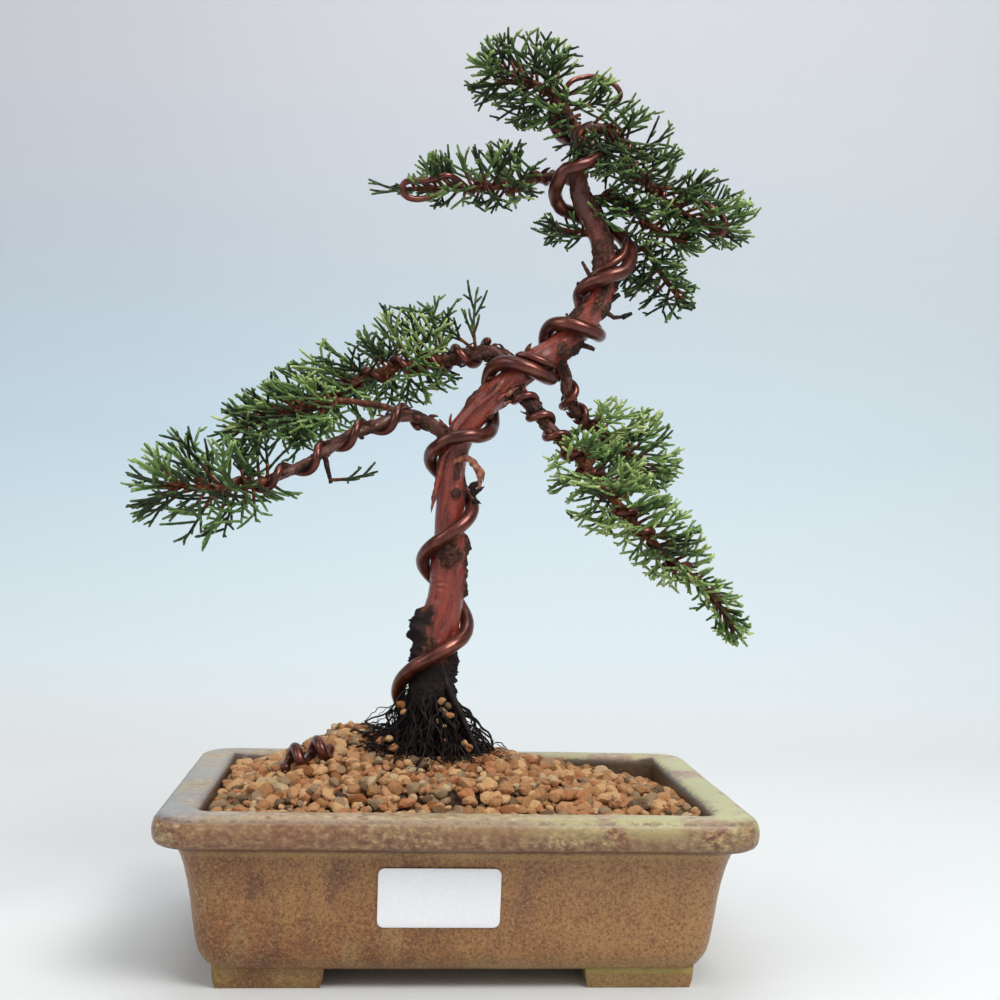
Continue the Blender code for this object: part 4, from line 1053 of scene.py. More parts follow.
def flake_piece(limbs, bark):
    """Scraps of old bark that stand off the trunk and the boughs."""
    dice = random.Random(17)
    batch = Batch()
    for name, (count, first, last) in FLAKES_ON_LIMBS.items():
        limb = limbs[name]
        for number in range(count):
            distance = limb.length * dice.uniform(first, last)
            _, radius, direction = limb.at(distance)
            angle = dice.uniform(0.0, 2 * math.pi)
            root = limb.round_at(distance, angle, 0.85 * radius)
            out = unit(limb.round_at(distance, angle, radius + 1.0) - root)
            length = dice.uniform(*FLAKE_LENGTHS)
            lift = dice.uniform(*FLAKE_LIFTS)
            away = unit(direction * dice.choice((-1, 1)) + out * lift) * length
            width = dice.uniform(*FLAKE_WIDTHS)
            start = root + out * 0.2 * radius
            bend = start + away * 0.6 + out * 0.2
            way = ((*root, width), (*start, width), (*bend, 0.7 * width),
                   (*(start + away), FLAKE_TIP_WIDTH))
            add_strip(batch, smooth(way, STRIP_SPACING), number, dice.uniform(*FLAKE_SHADES))
    batch.piece("bark_flakes", bark, "bark")


# ---------------------------------------------------------------- wires

def trunk_wire_path(limb, first_turn, last_turn, radius, lift=0.0):
    """Points of a wire round the trunk, from one turn to another."""
    knots = [(turn, np.interp(height, limb.points[:, 2], limb.along), 0.0)
             for turn, height in WIRE_HEIGHTS]
    places = smooth(knots, 0.5)
    path = []
    for turn in np.arange(first_turn, last_turn, 1.0 / WIRE_STEPS):
        distance = float(np.interp(turn, places[:, 0], places[:, 1])) + lift
        offset = float(limb.radius(distance)) + radius + WIRE_CLEAR
        offset += sum(extra * math.exp(-((turn - at) / spread) ** 2) for at, extra, spread in WIRE_LOOPS)
        path.append(limb.round_at(distance, 2 * math.pi * turn, offset))
    return path


def bough_wire_path(bough, stem, wire, stem_share, tail):
    """Points of the wire round one bough, on along its mass's stem and into its free end."""
    radius, turns, start, end, angle, hand = wire
    onward = stem.along > STEM_STRAIGHT
    rows = np.column_stack([np.vstack([bough.points, stem.points[onward]]),
                            np.concatenate([bough.radii, stem.radii[onward]])])
    limb = Limb(rows, 1.5)
    first, last = bough.length * start, bough.length * end
    reach = last + (limb.length - last) * stem_share
    rate = turns / (bough.length * (end - start))
    count = round(BOUGH_WIRE_STEPS * rate * (reach - first))
    path = []
    for step in range(count + 1):
        distance = first + (reach - first) * step / count
        around = math.radians(angle) + hand * 2 * math.pi * rate * (distance - first)
        offset = float(limb.radius(distance)) + radius - BOUGH_WIRE_SUNK
        path.append(limb.round_at(distance, around, offset))
    if tail:
        path = path[:-2] + list(smooth([path[-3], *tail], WIRE_END_SPACING)[1:])
    return path


def knot_path():
    """Points of the coiled wire end that is half sunk in the mound."""
    path = []
    for share in np.linspace(0.0, 1.0, KNOT_STEPS + 1):
        around = 2 * math.pi * KNOT_TURNS * share
        x, y = np.add(KNOT_START, np.subtract(KNOT_END, KNOT_START) * share)
        y += KNOT_SWAY * math.sin(around)
        lift = KNOT_WIRE_RADIUS - KNOT_SUNK + KNOT_RISE * (1 - math.cos(around)) / 2
        path.append((x, y, soil_height(x, y) + lift))
    return path


def wire_pieces(limbs, stems, material):
    """All the wires; a bough's wire winds on along the stem of its mass."""
    trunk = limbs["trunk"]
    main_path = trunk_wire_path(trunk, WIRE_START_TURN, WIRE_END_TURN, WIRE_RADIUS)
    main_path += list(smooth([main_path[-1], *TRUNK_WIRE_END], WIRE_END_SPACING)[1:])
    paths = {"wire_trunk": (main_path, WIRE_RADIUS), "wire_anchor": (knot_path(), KNOT_WIRE_RADIUS)}
    for name, turns in THIN_WIRES.items():
        path = trunk_wire_path(trunk, *turns, THIN_WIRE_RADIUS, THIN_WIRE_LIFT)
        paths[name] = (path, THIN_WIRE_RADIUS)
    for name, (mass, share, tail) in WIRE_ENDS.items():
        wire = BOUGHS[name]["wire"]
        path = bough_wire_path(limbs[name], stems[mass], wire, share, tail)
        paths[name.replace("bough", "wire")] = (path, wire[0])
    for name, (path, radius) in paths.items():
        batch = Batch()
        radii = np.full(len(path), radius)
        radii[[0, -1]] *= WIRE_CUT
        add_tube(batch, path, radii, TRUNK_WIRE_SIDES if name == "wire_trunk" else WIRE_SIDES)
        if name == "wire_trunk":
            loop = smooth(CROWN_LOOP, WIRE_END_SPACING)
            add_tube(batch, loop, np.full(len(loop), CROWN_LOOP_RADIUS), CROWN_LOOP_SIDES)
        batch.piece(f"{name}_smooth", material, "wire", [name])


# ---------------------------------------------------------------- foliage

def depth_in_lobes(point, lobes):
    """How deep a point lies in the mass's own space: 0 in a lobe's middle, 1 at its skin."""
    depth = math.inf
    for (cx, cy, cz), (hx, hy, hz), c, s in lobes:
        x, y, z = point[0] - cx, point[1] - cy, point[2] - cz
        a, b, d = (x * c + z * s) / hx, y / hy, (z * c - x * s) / hz
        depth = min(depth, a * a + b * b + d * d)
    return math.sqrt(depth)


def across(direction, angle):
    """A unit vector square to the direction, at an angle round it from the horizontal."""
    level = unit(np.cross(direction, UP) - 1e-6 * FRONT)
    upper = np.cross(level, direction)
    return math.cos(angle) * level + math.sin(angle) * upper


def along_bow(start, aim, bow, length, share):
    """The place at a share of a bowed shoot."""
    return start + (aim * share + bow * share ** 2) * length


class Growth:
    """The seeded rule by which one mass grows from its stem, down to its finest shoots."""

    def __init__(self, mass):
        self.dice = random.Random(mass["seed"])
        self.lobes = [(centre, halves, math.cos(math.radians(lean)), math.sin(math.radians(lean)))
                      for centre, halves, lean in mass["lobes"]]
        self.weights = mass["tints"]
        self.forks = mass["forks"]
        self.taper = mass["taper"]
        self.toward = np.array(mass["toward"])
        self.phase = self.dice.uniform(0, 2 * math.pi)
        self.singles = mass.get("sprays", ())
        self.cords, self.twigs = [], []

    def reach(self, start, direction, longest, skin=1.0):
        """How far one can go from start before leaving the mass's own space."""
        length = 0.0
        while length < longest and depth_in_lobes(start + direction * (length + 1.0), self.lobes) < skin:
            length += 1.0
        return length

    def cord(self, start, direction, length, radius, tint):
        """Add a green shoot, bowed a little to one side; returns its bow."""
        bow = random_step(self.dice, 1.3)
        bow = (bow - direction * bow.dot(direction)) * SHOOT_BOW + UP * SHOOT_LIFT * 0.5
        self.cords.append((start, direction, bow, length, radius, tint))
        return bow

    def shaded_tint_at(self, point, tint):
        """A spray's tint, made deeper inside the mass as painted shade."""
        inner = depth_in_lobes(point, self.lobes)
        return max(0, tint - (inner < 0.35) - (inner < 0.55 and self.dice.random() < 0.5))

    def spray(self, start, out, length):
        """A twig with shoots on both sides, and side shoots on those."""
        dice = self.dice
        tint = dice.choices(range(5), self.weights)[0]
        bow = self.cord(start, out, length, CORD_RADIUS, self.shaded_tint_at(start, tint))
        self.twigs.append((start, out, bow, length))
        level = dice.uniform(-SPRAY_LEVEL, SPRAY_LEVEL)
        for number in range(int((length - 1.0) / SHOOT_SPACING)):
            share = 1.0 - (SHOOT_FIRST + SHOOT_SPACING * number) / length
            base = along_bow(start, out, bow, length, share)
            forward = unit(out + 2 * bow * share)
            side = across(forward, level + math.pi * number + dice.uniform(-SHOOT_TURN, SHOOT_TURN))
            angle = SHOOT_ANGLE + dice.uniform(*SHOOT_ANGLE_SPREAD)
            aim = unit(forward * math.cos(angle) + side * math.sin(angle) + UP * SHOOT_LIFT)
            fullest = 0.32 + 0.5 * math.sin(math.pi * (0.15 + 0.75 * share))
            longest = min(SHOOT_LONGEST, length * fullest)
            longest *= dice.uniform(*SHOOT_SIZES)
            size = self.reach(base, aim, longest, dice.uniform(*SHOOT_SKINS))
            if size >= SHOOT_SHORTEST:
                self.shoot(base, aim, size, self.shaded_tint_at(base, tint), side)

    def shoot(self, base, aim, size, tint, side):
        """One shoot with its own short side shoots."""
        bow = self.cord(base, aim, size, CORD_RADIUS * 0.95, tint)
        for number in range(int((size - 1.5) / SIDE_SHOOT_SPACING)):
            if self.dice.random() > self.forks:
                continue
            share = 1.0 - (SIDE_SHOOT_FIRST + SIDE_SHOOT_SPACING * number) / size
            start = along_bow(base, aim, bow, size, share)
            turn = unit(np.cross(aim, np.cross(aim, side)) + 1e-6) * (1 if number % 2 else -1)
            out = unit(aim * 0.78 + turn * 0.6 + UP * 0.1)
            length = min(self.dice.uniform(*SIDE_SHOOT_LENGTHS), 0.7 * size)
            self.cord(start, out, length, CORD_RADIUS * 0.88, min(tint + (self.dice.random() < 0.4), 5))

    def fullness(self, share, out):
        """How long a twig grows for its place along the stem and the way it points."""
        clumps = 1.0 + CLUMPING * math.sin(self.phase + 2 * math.pi * share * self.clumps)
        return clumps * (1.0 - self.taper * share ** 1.5) * (1.0 + out.dot(self.toward))

    def grow(self, stem):
        """Twigs round the stem at each station, each a spray."""
        stations = max(3, round(stem.length / STATION_SPACING))
        self.clumps = max(1.0, stem.length / CLUMP_LENGTH)
        for number in range(stations):
            share = (number + 0.45) / stations
            start, _, forward = stem.at(stem.length * share)
            lean = math.radians(TWIG_LEANS[0] + (TWIG_LEANS[1] - TWIG_LEANS[0]) * share)
            for part in range(TWIGS_AT_STATION):
                around = STATION_TURN * number + 2 * math.pi * part / TWIGS_AT_STATION
                around += self.dice.uniform(-0.4, 0.4)
                tilt = lean + self.dice.uniform(-0.3, 0.3)
                out = forward * math.cos(tilt) + across(forward, around) * math.sin(tilt)
                longest = TWIG_LONGEST * self.dice.uniform(*TWIG_SIZES) * self.fullness(share, out)
                length = self.reach(start, out, longest)
                if length >= TWIG_SHORTEST:
                    self.spray(start, out, length)
        start, _, forward = stem.at(stem.length * 0.85)
        self.spray(start, forward, max(6.0, self.reach(start, forward, TWIG_LONGEST)))
        for root, tip in self.singles:
            way = np.subtract(tip, root).astype(float)
            self.spray(np.array(root, float), unit(way), float(np.linalg.norm(way)))


CORD_SIDES = 5
CORD_RINGS = (4, 9)              # the fewest and the most
CORD_KNOBS = 0.09
CORD_SHAPE = ((0.0, 0.8), (0.25, 1.0), (0.8, 0.95), (0.97, 0.78), (1.0, 0.42))   # share, width
SCALE_LENGTH = 1.5               # between two rings of a cord, which are wide and narrow in turn


def add_cords(batch, cords):
    """Add all the green shoots: blunt, knobbly cords, bowed a little."""
    groups = {}
    for row in cords:
        rings = int(np.clip(round(row[3] / SCALE_LENGTH) + 2, *CORD_RINGS))
        groups.setdefault(rings, []).append(row)
    palest = len(GREENS) - 1
    for rings, rows in sorted(groups.items()):
        start, aim, bow, length, radius, tint = (np.array(column) for column in zip(*rows))
        share = np.append(np.linspace(0.0, 0.97, rings - 1), 1.0)
        line = [part[:, None] for part in (start, aim, bow, length[:, None])]
        spine = along_bow(*line, share[:, None])
        ahead = unit(aim[:, None] + 2 * bow[:, None] * share[:, None])
        helper = np.where(np.abs(aim[:, 2:3]) > 0.9, [[1.0, 0.0, 0.0]], [UP])
        first = np.repeat(np.cross(aim, helper)[:, None], rings, axis=1)
        first = unit(first - ahead * np.sum(first * ahead, axis=2, keepdims=True))
        second = np.cross(ahead, first)
        width = 1.0 + CORD_KNOBS * np.where(np.arange(rings) % 2, 1.0, -1.0)
        width = width * np.interp(share, *zip(*CORD_SHAPE))
        angles = circle(CORD_SIDES)[:, None]
        out = np.cos(angles) * first[:, :, None] + np.sin(angles) * second[:, :, None]
        verts = spine[:, :, None] + out * (radius[:, None] * width)[:, :, None, None]
        quads, caps = ring_faces(rings, CORD_SIDES)
        caps = caps[len(caps) // 2:]
        many = np.arange(len(rows))[:, None, None] * rings * CORD_SIDES
        tips = np.repeat(np.arange(rings - 1) >= rings - 3, CORD_SIDES)
        batch.add(verts, (quads + many).reshape(-1, 4), (caps + many).reshape(-1, 3),
                  np.minimum(tint[:, None] + tips, palest).ravel(),
                  np.repeat(np.minimum(tint + 1, palest), len(caps)))


def stem_limb(mass, limbs):
    """The stem inside a mass, from the limb that carries it."""
    carrier = limbs[mass["root"]]
    if "side" in mass:
        start = [carrier.centre(carrier.length * mass["side"])]
    elif "start" in mass:
        start = [carrier.centre(carrier.length * TUFT_SHARE), mass["start"]]
    else:
        centre, _, direction = carrier.at(carrier.length)
        start = [centre - direction * STEM_SUNK, centre + direction * STEM_STRAIGHT]
    return Limb(tapered([*start, *mass["way"]], mass["radius"], STEM_TIP_RADIUS), STEM_SPACING)


def foliage_pieces(stems, greens, brown):
    """Each mass as its green shoots and its brown twigs."""
    share = np.linspace(0.0, TWIG_WOODY, 4)[:, None]
    radii = TWIG_RADIUS * np.linspace(1.15, 1.0, 4)
    for number, (name, mass) in enumerate(MASSES.items()):
        part = name.removeprefix("foliage_")
        stem = stems[name]
        growth = Growth(mass)
        growth.grow(stem)
        shoots, wood = Batch(), Batch()
        add_cords(shoots, growth.cords)
        shoots.piece(f"shoots_{part}", greens, "foliage", [name])
        rough = stem.radii * (1 + 0.25 * ripple(stem.points, 0.8, number))
        add_tube(wood, stem.points, rough, STEM_SIDES)
        for twig in growth.twigs:
            add_tube(wood, along_bow(*twig, share), radii, TWIG_SIDES)
        wood.piece(f"twigs_{part}", brown, "foliage", [name])


# ---------------------------------------------------------------- pot, soil and grains

def rounded_rectangle(middle, halves, corner, corner_steps, edge_steps):
    """A loop of points round a rectangle with rounded corners."""
    arcs = []
    for quarter, signs in enumerate(((1, 1), (-1, 1), (-1, -1), (1, -1))):
        centre = np.add(middle, np.multiply(signs, np.subtract(halves, corner)))
        angles = np.radians(90 * (quarter + np.arange(corner_steps + 1) / corner_steps))
        arcs.append(centre + corner * np.column_stack([np.cos(angles), np.sin(angles)]))
    loop = []
    for arc, after in zip(arcs, arcs[1:] + arcs[:1]):
        loop += [*arc, *np.linspace(arc[-1], after[0], edge_steps + 1)[1:-1]]
    return np.array(loop)


def pot_ring(inset, corner, z):
    """One ring of the pot's skin, `inset` inside the rim's outline."""
    halves = (POT_HALF_X - inset, POT_HALF_Y - inset)
    ring = rounded_rectangle((0.0, 0.0), halves, corner, POT_CORNER_STEPS, POT_EDGE_STEPS)
    return np.column_stack([ring, np.full(len(ring), z)])


POT_CORNER_STEPS = 12
POT_EDGE_STEPS = 14
# The pot's skin from the foot up over the rim and down inside: inset from the rim's outline, corner
# radius and height
POT_PROFILE = (
    (FOOT_INSET - 0.8, 8, 7), (17, 8.5, 8.2), (15.2, 9, 11), (14.4, 9, 13), (13.8, 9, 15.5),
    (13.1, 9.2, 20), (12.4, 9.4, 25), (11.8, 9.5, 30), (10.8, 9.8, 36), (9.6, 10, 41.5), (8.6, 10, 45),
    (7.6, 10, 47.6), (6.8, 10.2, 48.6), (5.6, 11, 49), (4, 11.5, 49.1), (2.4, 12, 49.4), (1.2, 12.5, 50.1),
    (0.45, 12.9, 51.2), (0.1, 13, 52.8), (0, 13, 54.6), (0.15, 13, 56.3), (0.6, 12.7, 57.8),
    (1.5, 12.2, 59.1), (3, 11.3, 59.9), (5, 10.4, 60.1), (8.5, 9, 60.1), (11.4, 7.6, 60), (13.2, 6.8, 59.5),
    (14.2, 6.2, 58.5), (14.6, 6, 56.5), (14.7, 6, 52), (16.2, 6, 40), (18.5, 6, 16), (21, 6, FLOOR_TOP),
)


def pot_piece(glaze):
    """The glazed pot with its soft, slightly uneven walls, and its four corner feet."""
    loops = np.array([pot_ring(*section) for section in POT_PROFILE])
    rings, sides = loops.shape[:2]
    flat = loops.reshape(-1, 3)
    outward = np.column_stack([flat[:, 0] / POT_HALF_X, flat[:, 1] / POT_HALF_Y, np.zeros(len(flat))])
    uneven = 0.35 * ripple(flat, 0.022, 2.0) + 0.10 * ripple(flat, 0.11, 6.0)
    flat = flat + unit(outward) * uneven[:, None]
    flat[:, 2] += 0.3 * ripple(flat * (1, 1, 0), 0.03, 4.0) * (flat[:, 2] > 40)
    quads, caps = ring_faces(rings, sides)
    batch = Batch()
    batch.add(flat, quads, caps)
    for sx in (-1, 1):
        for sy in (-1, 1):
            add_foot(batch, sx, sy)
    obj = batch.piece("pot_glazed", glaze, "pot", ["pot"])
    drill(obj)
    bevel = obj.modifiers.new("soft_edges", "BEVEL")
    bevel.width = 0.9 * MM
    bevel.segments = 2
    bevel.angle_limit = math.radians(50)


def drill(obj):
    """Cut the drain holes through the pot's floor."""
    bm = bmesh.new()
    for x in DRAIN_PLACES:
        bmesh.ops.create_cone(bm, cap_ends=True, segments=32, radius1=DRAIN_RADIUS * MM,
                              radius2=DRAIN_RADIUS * MM, depth=3 * FLOOR_TOP * MM,
                              matrix=Matrix.Translation((x * MM, 0.0, 0.0)))
    mesh = bpy.data.meshes.new("drain_holes")
    bm.to_mesh(mesh)
    bm.free()
    cutter = linked("drain_holes", mesh)
    cut = obj.modifiers.new("drain_holes", "BOOLEAN")
    cut.operation = "DIFFERENCE"
    cut.object = cutter
    bpy.context.view_layer.update()
    seen = obj.evaluated_get(bpy.context.evaluated_depsgraph_get())
    obj.data = bpy.data.meshes.new_from_object(seen)
    obj.modifiers.clear()
    bpy.data.objects.remove(cutter)


FOOT_RINGS = ((FOOT_SLANT, 0.0), (0.4, 3.0), (0.0, FOOT_HEIGHT + 1.5))   # slant inwards, height
FOOT_SOLE = ((2, 1, 0), (3, 2, 0), (4, 3, 0), (5, 4, 0))


def add_foot(batch, sx, sy):
    """One L-shaped corner foot, a little narrower at the table."""
    rings = []
    for slant, z in FOOT_RINGS:
        x, y = POT_HALF_X - FOOT_INSET - slant, POT_HALF_Y - FOOT_INSET - slant
        inner_x, inner_y = x - FOOT_THICKNESS + 2 * slant, y - FOOT_THICKNESS + 2 * slant
        end_x, end_y = x - FOOT_LEG_X + 2 * slant, y - FOOT_LEG_Y + 2 * slant
        outline = ((x, y), (end_x, y), (end_x, inner_y), (inner_x, inner_y), (inner_x, end_y), (x, end_y))
        ring = [(sx * px, sy * py, z) for px, py in outline]
        rings.append(ring if sx * sy > 0 else ring[::-1])
    quads, _ = ring_faces(3, 6)
    batch.add(rings, quads, FOOT_SOLE)


PEBBLE_SHAPES = 14
PEBBLE_FACETS = 9


def pebble_shapes(dice):
    """Different subangular stones of radius 1, each a ball with flattened facets."""
    bm = bmesh.new()
    bmesh.ops.create_icosphere(bm, subdivisions=2, radius=1.0)
    ball = np.array([v.co[:] for v in bm.verts])
    faces = np.array([[v.index for v in f.verts] for f in bm.faces])
    bm.free()
    shapes = []
    for number in range(PEBBLE_SHAPES):
        bumpy = ball.copy()
        for _ in range(PEBBLE_FACETS):
            facing = unit(np.array([dice.gauss(0, 1) for _ in range(3)]))
            over = np.maximum(bumpy @ facing - dice.uniform(0.55, 0.85), 0.0)
            bumpy -= over[:, None] * facing * 0.9
        bumpy *= (1.06 + 0.16 * ripple(ball, 1.2, 10.0 * number + 1))[:, None]
        shapes.append(bumpy * (1.12, dice.uniform(0.8, 1.0), dice.uniform(0.65, 0.9)))
    return shapes, faces


def random_turn(dice, tilt):
    """A turn about Z with some tilt."""
    return np.array(Matrix.Rotation(dice.uniform(0, 2 * math.pi), 3, "Z")
                    @ Matrix.Rotation(dice.uniform(-tilt, tilt), 3, "X")
                    @ Matrix.Rotation(dice.uniform(-tilt, tilt), 3, "Y"))


BED_COLUMNS = 85
BED_ROWS = 56
BED_CLEAR = 0.6
BED_DEPTH = 3.2
GRAIN_SPACING = 2.9
GRAIN_JITTER = 1.5
GRAIN_LAYERS = (-2.6, -0.5)      # how high the grains' middles lie over the soil's surface
UPPER_GAPS = 0.25                # share of the upper layer that is left out
GRAIN_TILT = 0.7
GRAIN_RADII = (1.2, 1.5, 1.8, 2.0, 2.3, 2.6, 3.0)
GRAIN_WEIGHTS = (8, 4, 4, 6, 2, 2, 7, 3)
GRAVEL_PARTS = {"front": -math.inf, "middle": -20.0, "back": 18.0}   # where each starts along Y
STUCK_GRAINS = (
    (-5.4, -8, 90, 1.9), (-3, -8.6, 88.6, 1.6), (-5, -9, 86.6, 1.8), (-2.2, -9.3, 85.2, 1.8),
    (-6.3, -9.2, 83, 1.4), (-4.4, -9.7, 81.4, 1.2), (-20, -6.6, 88.6, 1.7), (-18.9, -7, 86, 1.4),
    (-14, -12.2, 76.5, 1.3), (-4, -13.2, 76.5, 1.1), (5, -12.2, 74, 1.9), (-24, -9.6, 76.5, 1.9),
    (3.4, -12.6, 75.5, 1.7), (-27, -8, 75, 2.2), (-22, -12, 73.5, 2.3)
)


def soil_bed_piece(material):
    """The dark bed that the grains lie on, a little below the surface of the soil."""
    half_x = POT_HALF_X - RIM_FLAT - BED_CLEAR
    half_y = POT_HALF_Y - RIM_FLAT - BED_CLEAR
    xs = np.linspace(-half_x, half_x, BED_COLUMNS)
    ys = np.linspace(-half_y, half_y, BED_ROWS)
    upper = [(x, y, soil_height(x, y) - BED_DEPTH) for y in ys for x in xs]
    lower = [(x * 0.965, y * 0.94, FLOOR_TOP + 1.0) for y in ys for x in xs]
    numbers = np.arange(len(upper)).reshape(BED_ROWS, BED_COLUMNS)
    top = np.stack([numbers[:-1, :-1], numbers[:-1, 1:], numbers[1:, 1:], numbers[1:, :-1]],
                   axis=2).reshape(-1, 4)
    bottom = top[:, ::-1] + len(upper)
    border = np.concatenate([numbers[0], numbers[1:, -1], numbers[-1, -2::-1], numbers[-2:0:-1, 0]])
    after = np.roll(border, -1)
    sides = np.column_stack([border, border + len(upper), after + len(upper), after])
    batch = Batch()
    batch.add(upper + lower, np.concatenate([top, bottom, sides]))
    batch.piece("soil_bed", material, "soil", ["soil"])


def grain_pieces(stones):
    """The gravel: grains of many sizes over the soil, and a few caught in the roots."""
    dice = random.Random(31)
    shapes, faces = pebble_shapes(dice)
    half_x = POT_HALF_X - RIM_FLAT
    half_y = POT_HALF_Y - RIM_FLAT
    rows = list(STUCK_GRAINS)
    for layer, depth in enumerate(GRAIN_LAYERS):
        for i in np.arange(-half_x, half_x, GRAIN_SPACING):
            for j in np.arange(-half_y, half_y, GRAIN_SPACING):
                x = i + dice.uniform(-GRAIN_JITTER, GRAIN_JITTER) + layer * GRAIN_JITTER
                y = j + dice.uniform(-GRAIN_JITTER, GRAIN_JITTER) + layer * GRAIN_JITTER
                radius = dice.choice(GRAIN_RADII) * dice.uniform(0.9, 1.15)
                if abs(x) > half_x - radius or abs(y) > half_y - radius:
                    continue
                if layer and dice.random() < UPPER_GAPS:
                    continue
                rows.append((x, y, soil_height(x, y) + depth + dice.uniform(-0.3, 0.5), radius))
    batches = [Batch() for _ in GRAVEL_PARTS]
    for x, y, z, radius in rows:
        shape = dice.choice(shapes) * radius
        verts = shape @ random_turn(dice, GRAIN_TILT).T + (x, y, z)
        tint = dice.choices(range(len(PEBBLES)), GRAIN_WEIGHTS)[0]
        part = sum(y >= start for start in GRAVEL_PARTS.values()) - 1
        batches[part].add(verts, tris=faces, tint=tint)
    for batch, part in zip(batches, GRAVEL_PARTS):
        batch.piece(f"gravel_{part}", stones, "soil", ["soil"], flat=True)


LABEL_MIDDLE = (-6.45, 32.5)
LABEL_HALVES = (20.15, 10.1)
LABEL_CORNER = 2.2
LABEL_CLEAR = 0.25
# The sticker's rings from its edge to its middle: lift off the pot, and share of its size
LABEL_RINGS = ((0.05, 1.0), (0.28, 1.0), (0.34, 0.985), (0.34, 0.8), (0.34, 0.5), (0.34, 0.05))
POT_OUTSIDE = 18                 # rows of the pot's profile on its outer face


def label_piece():
    """A blank white sticker on the pot's front."""
    s = Shader("label_white", Specular_IOR_Level=0.5)
    paper = s.noise(s.place(), 900.0, 2.0)
    s.colour(s.ramp(paper, (0.3, "#e6e7ea"), (0.7, "#ecedef")))
    s.roughness(s.between(paper, 0.0, 1.0, 0.35, 0.5))
    insets, _, heights = zip(*POT_PROFILE[:POT_OUTSIDE])
    outline = rounded_rectangle(LABEL_MIDDLE, LABEL_HALVES, LABEL_CORNER, 6, 1)
    middle = outline.mean(axis=0)
    rings = []
    for lift, shrink in LABEL_RINGS:
        x, z = (middle + (outline - middle) * shrink).T
        y = np.interp(z, heights, insets) - POT_HALF_Y - LABEL_CLEAR - lift
        rings.append(np.column_stack([x, y, z]))
    quads, caps = ring_faces(len(rings), len(outline))
    batch = Batch()
    batch.add(rings, quads, caps)
    batch.piece("label_blank", s.material, "pot")


# ---------------------------------------------------------------- stage

FLOOR_START = -1500.0
FLOOR_END = 420.0
SWEEP_RADIUS = 380.0
SWEEP_STEPS = 12
WALL_TOP = 2600.0
BACKDROP_HALF = 2200.0
# Lights: place in metres, size, power and colour
LIGHTS = {
    "key": ((0.50, -0.70, 1.05), 0.55, 13.2, (1.0, 0.985, 0.96)),
    "side": ((-0.95, -0.55, 0.75), 0.7, 3.9, (1.0, 1.0, 1.0)),
    "top": ((0.0, 0.10, 1.3), 0.8, 7.0, (1.0, 1.0, 1.0)),
}
LIGHTS_AIM = (0.0, 0.0, 0.17)
FILL_COLOUR = (0.97, 0.985, 1.0, 1.0)
FILL_STRENGTH = 0.48


def backdrop():
    """A pale floor that sweeps up into a wall, lavender-grey at the top, with painted light towards the
    right.
    """
    angles = np.radians(np.linspace(0.0, 90.0, SWEEP_STEPS + 1))
    sweep = zip(FLOOR_END + SWEEP_RADIUS * np.sin(angles), SWEEP_RADIUS * (1 - np.cos(angles)))
    section = [(FLOOR_START, 0.0), *sweep, (FLOOR_END + SWEEP_RADIUS, WALL_TOP)]
    verts = [(x * MM, y * MM, z * MM) for y, z in section for x in (-BACKDROP_HALF, BACKDROP_HALF)]
    faces = [(2 * i, 2 * i + 1, 2 * i + 3, 2 * i + 2) for i in range(len(section) - 1)]
    mesh = bpy.data.meshes.new("backdrop")
    mesh.from_pydata(verts, [], faces)
    mesh.shade_smooth()
    s = Shader("backdrop_paper", Roughness=0.95, Specular_IOR_Level=0.1)
    place = s.place()
    wall = s.ramp(s.between(s.separate(place, "Z"), -0.02, 0.62), (0.0, "#d3d1cf"), (0.10, "#c8d3d7"),
                  (0.40, "#b3c5d0"), (0.70, "#b5bdc6"), (1.0, "#babac0"))
    # Painted light: the wall is lighter towards +X, on the key light's side.
    s.colour(s.tinted(wall, (s.separate(place, "X"), -0.25, 0.55, 0.45, "#d2d9dc")))
    mesh.materials.append(s.material)
    obj = linked("backdrop", mesh)


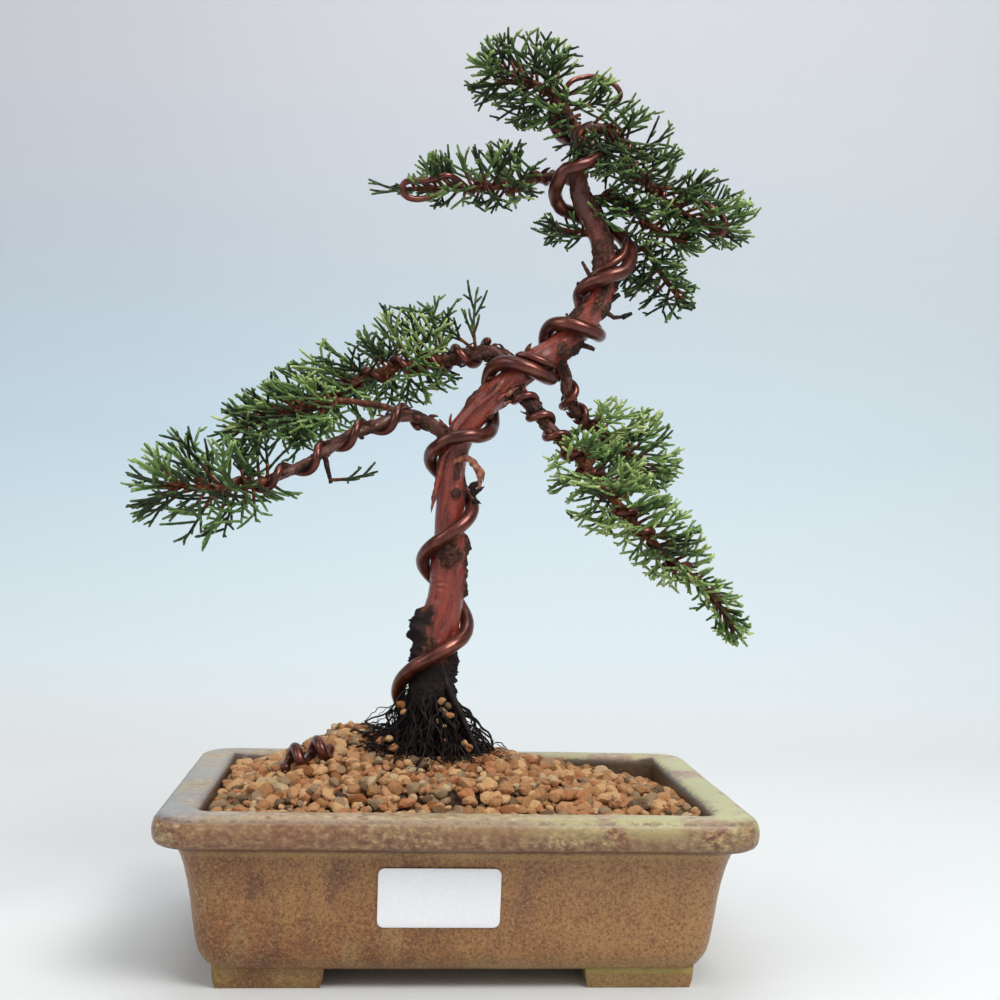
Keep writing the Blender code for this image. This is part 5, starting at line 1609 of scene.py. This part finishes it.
def lights():
    """Soft square lights from above in front, from the left and from the top, and an even fill."""
    for name, (place, size, power, colour) in LIGHTS.items():
        data = bpy.data.lights.new(name, "AREA")
        data.shape = "SQUARE"
        data.size = size
        data.energy = power
        data.color = colour
        turn = (Vector(LIGHTS_AIM) - Vector(place)).to_track_quat("-Z", "Y").to_matrix().to_4x4()
        linked(name, data).matrix_world = Matrix.Translation(place) @ turn
    world = bpy.data.worlds.new("studio")
    world.use_nodes = True
    background = world.node_tree.nodes["Background"]
    background.inputs["Color"].default_value = FILL_COLOUR
    background.inputs["Strength"].default_value = FILL_STRENGTH
    bpy.context.scene.world = world
    bpy.context.scene.view_settings.view_transform = "Standard"


def camera():
    """The camera that sees the tree as the picture shows it."""
    sin_yaw, cos_yaw = math.sin(CAMERA_YAW), math.cos(CAMERA_YAW)
    sin_pitch, cos_pitch = math.sin(CAMERA_PITCH), math.cos(CAMERA_PITCH)
    sin_roll, cos_roll = math.sin(CAMERA_ROLL), math.cos(CAMERA_ROLL)
    ahead = Vector((sin_yaw * cos_pitch, cos_yaw * cos_pitch, sin_pitch))
    right = Vector((cos_yaw, -sin_yaw, 0.0))
    up = right.cross(ahead)
    turn = Matrix((cos_roll * right - sin_roll * up, sin_roll * right + cos_roll * up, -ahead))
    data = bpy.data.cameras.new("camera")
    data.sensor_width = SENSOR
    data.lens = FOCAL_PIXELS / IMAGE_SIDE * SENSOR
    data.clip_start = 0.01
    obj = linked("camera", data)
    obj.matrix_world = Matrix.Translation(Vector(CAMERA_PLACE) * MM) @ turn.transposed().to_4x4()
    bpy.context.scene.camera = obj


def main():
    """Build every piece, the stage, the lights and the camera."""
    camera()
    limbs = {"trunk": Limb(TRUNK, TRUNK_SPACING)}
    for name, bough in BOUGHS.items():
        limbs[name] = Limb(tapered(bough["way"], *bough["radii"]), BOUGH_SPACING)
    stems = {name: stem_limb(mass, limbs) for name, mass in MASSES.items()}
    red = bark_material("bark_red", "#963621", "#671c12", "#390e08")
    trunk_piece(limbs["trunk"], red)
    bough_pieces(limbs, bark_material("bark_brown", "#774739", "#522b20", "#2e140e"))
    snag_piece(bark_material("bark_dead", "#54392b", "#33211a", "#1a100c"))
    peel_piece(streaked_material("bark_peel"), red)
    flake_piece(limbs, red)
    root_hair_piece(streaked_material("root_dark"))
    wire_pieces(limbs, stems, wire_material())
    foliage_pieces(stems, leaf_materials(), streaked_material("twig_brown"))
    pot_piece(glaze_material())
    label_piece()
    soil_bed_piece(streaked_material("soil_dark"))
    grain_pieces([stone_material(number, code) for number, code in enumerate(PEBBLES)])
    backdrop()
    lights()


main()
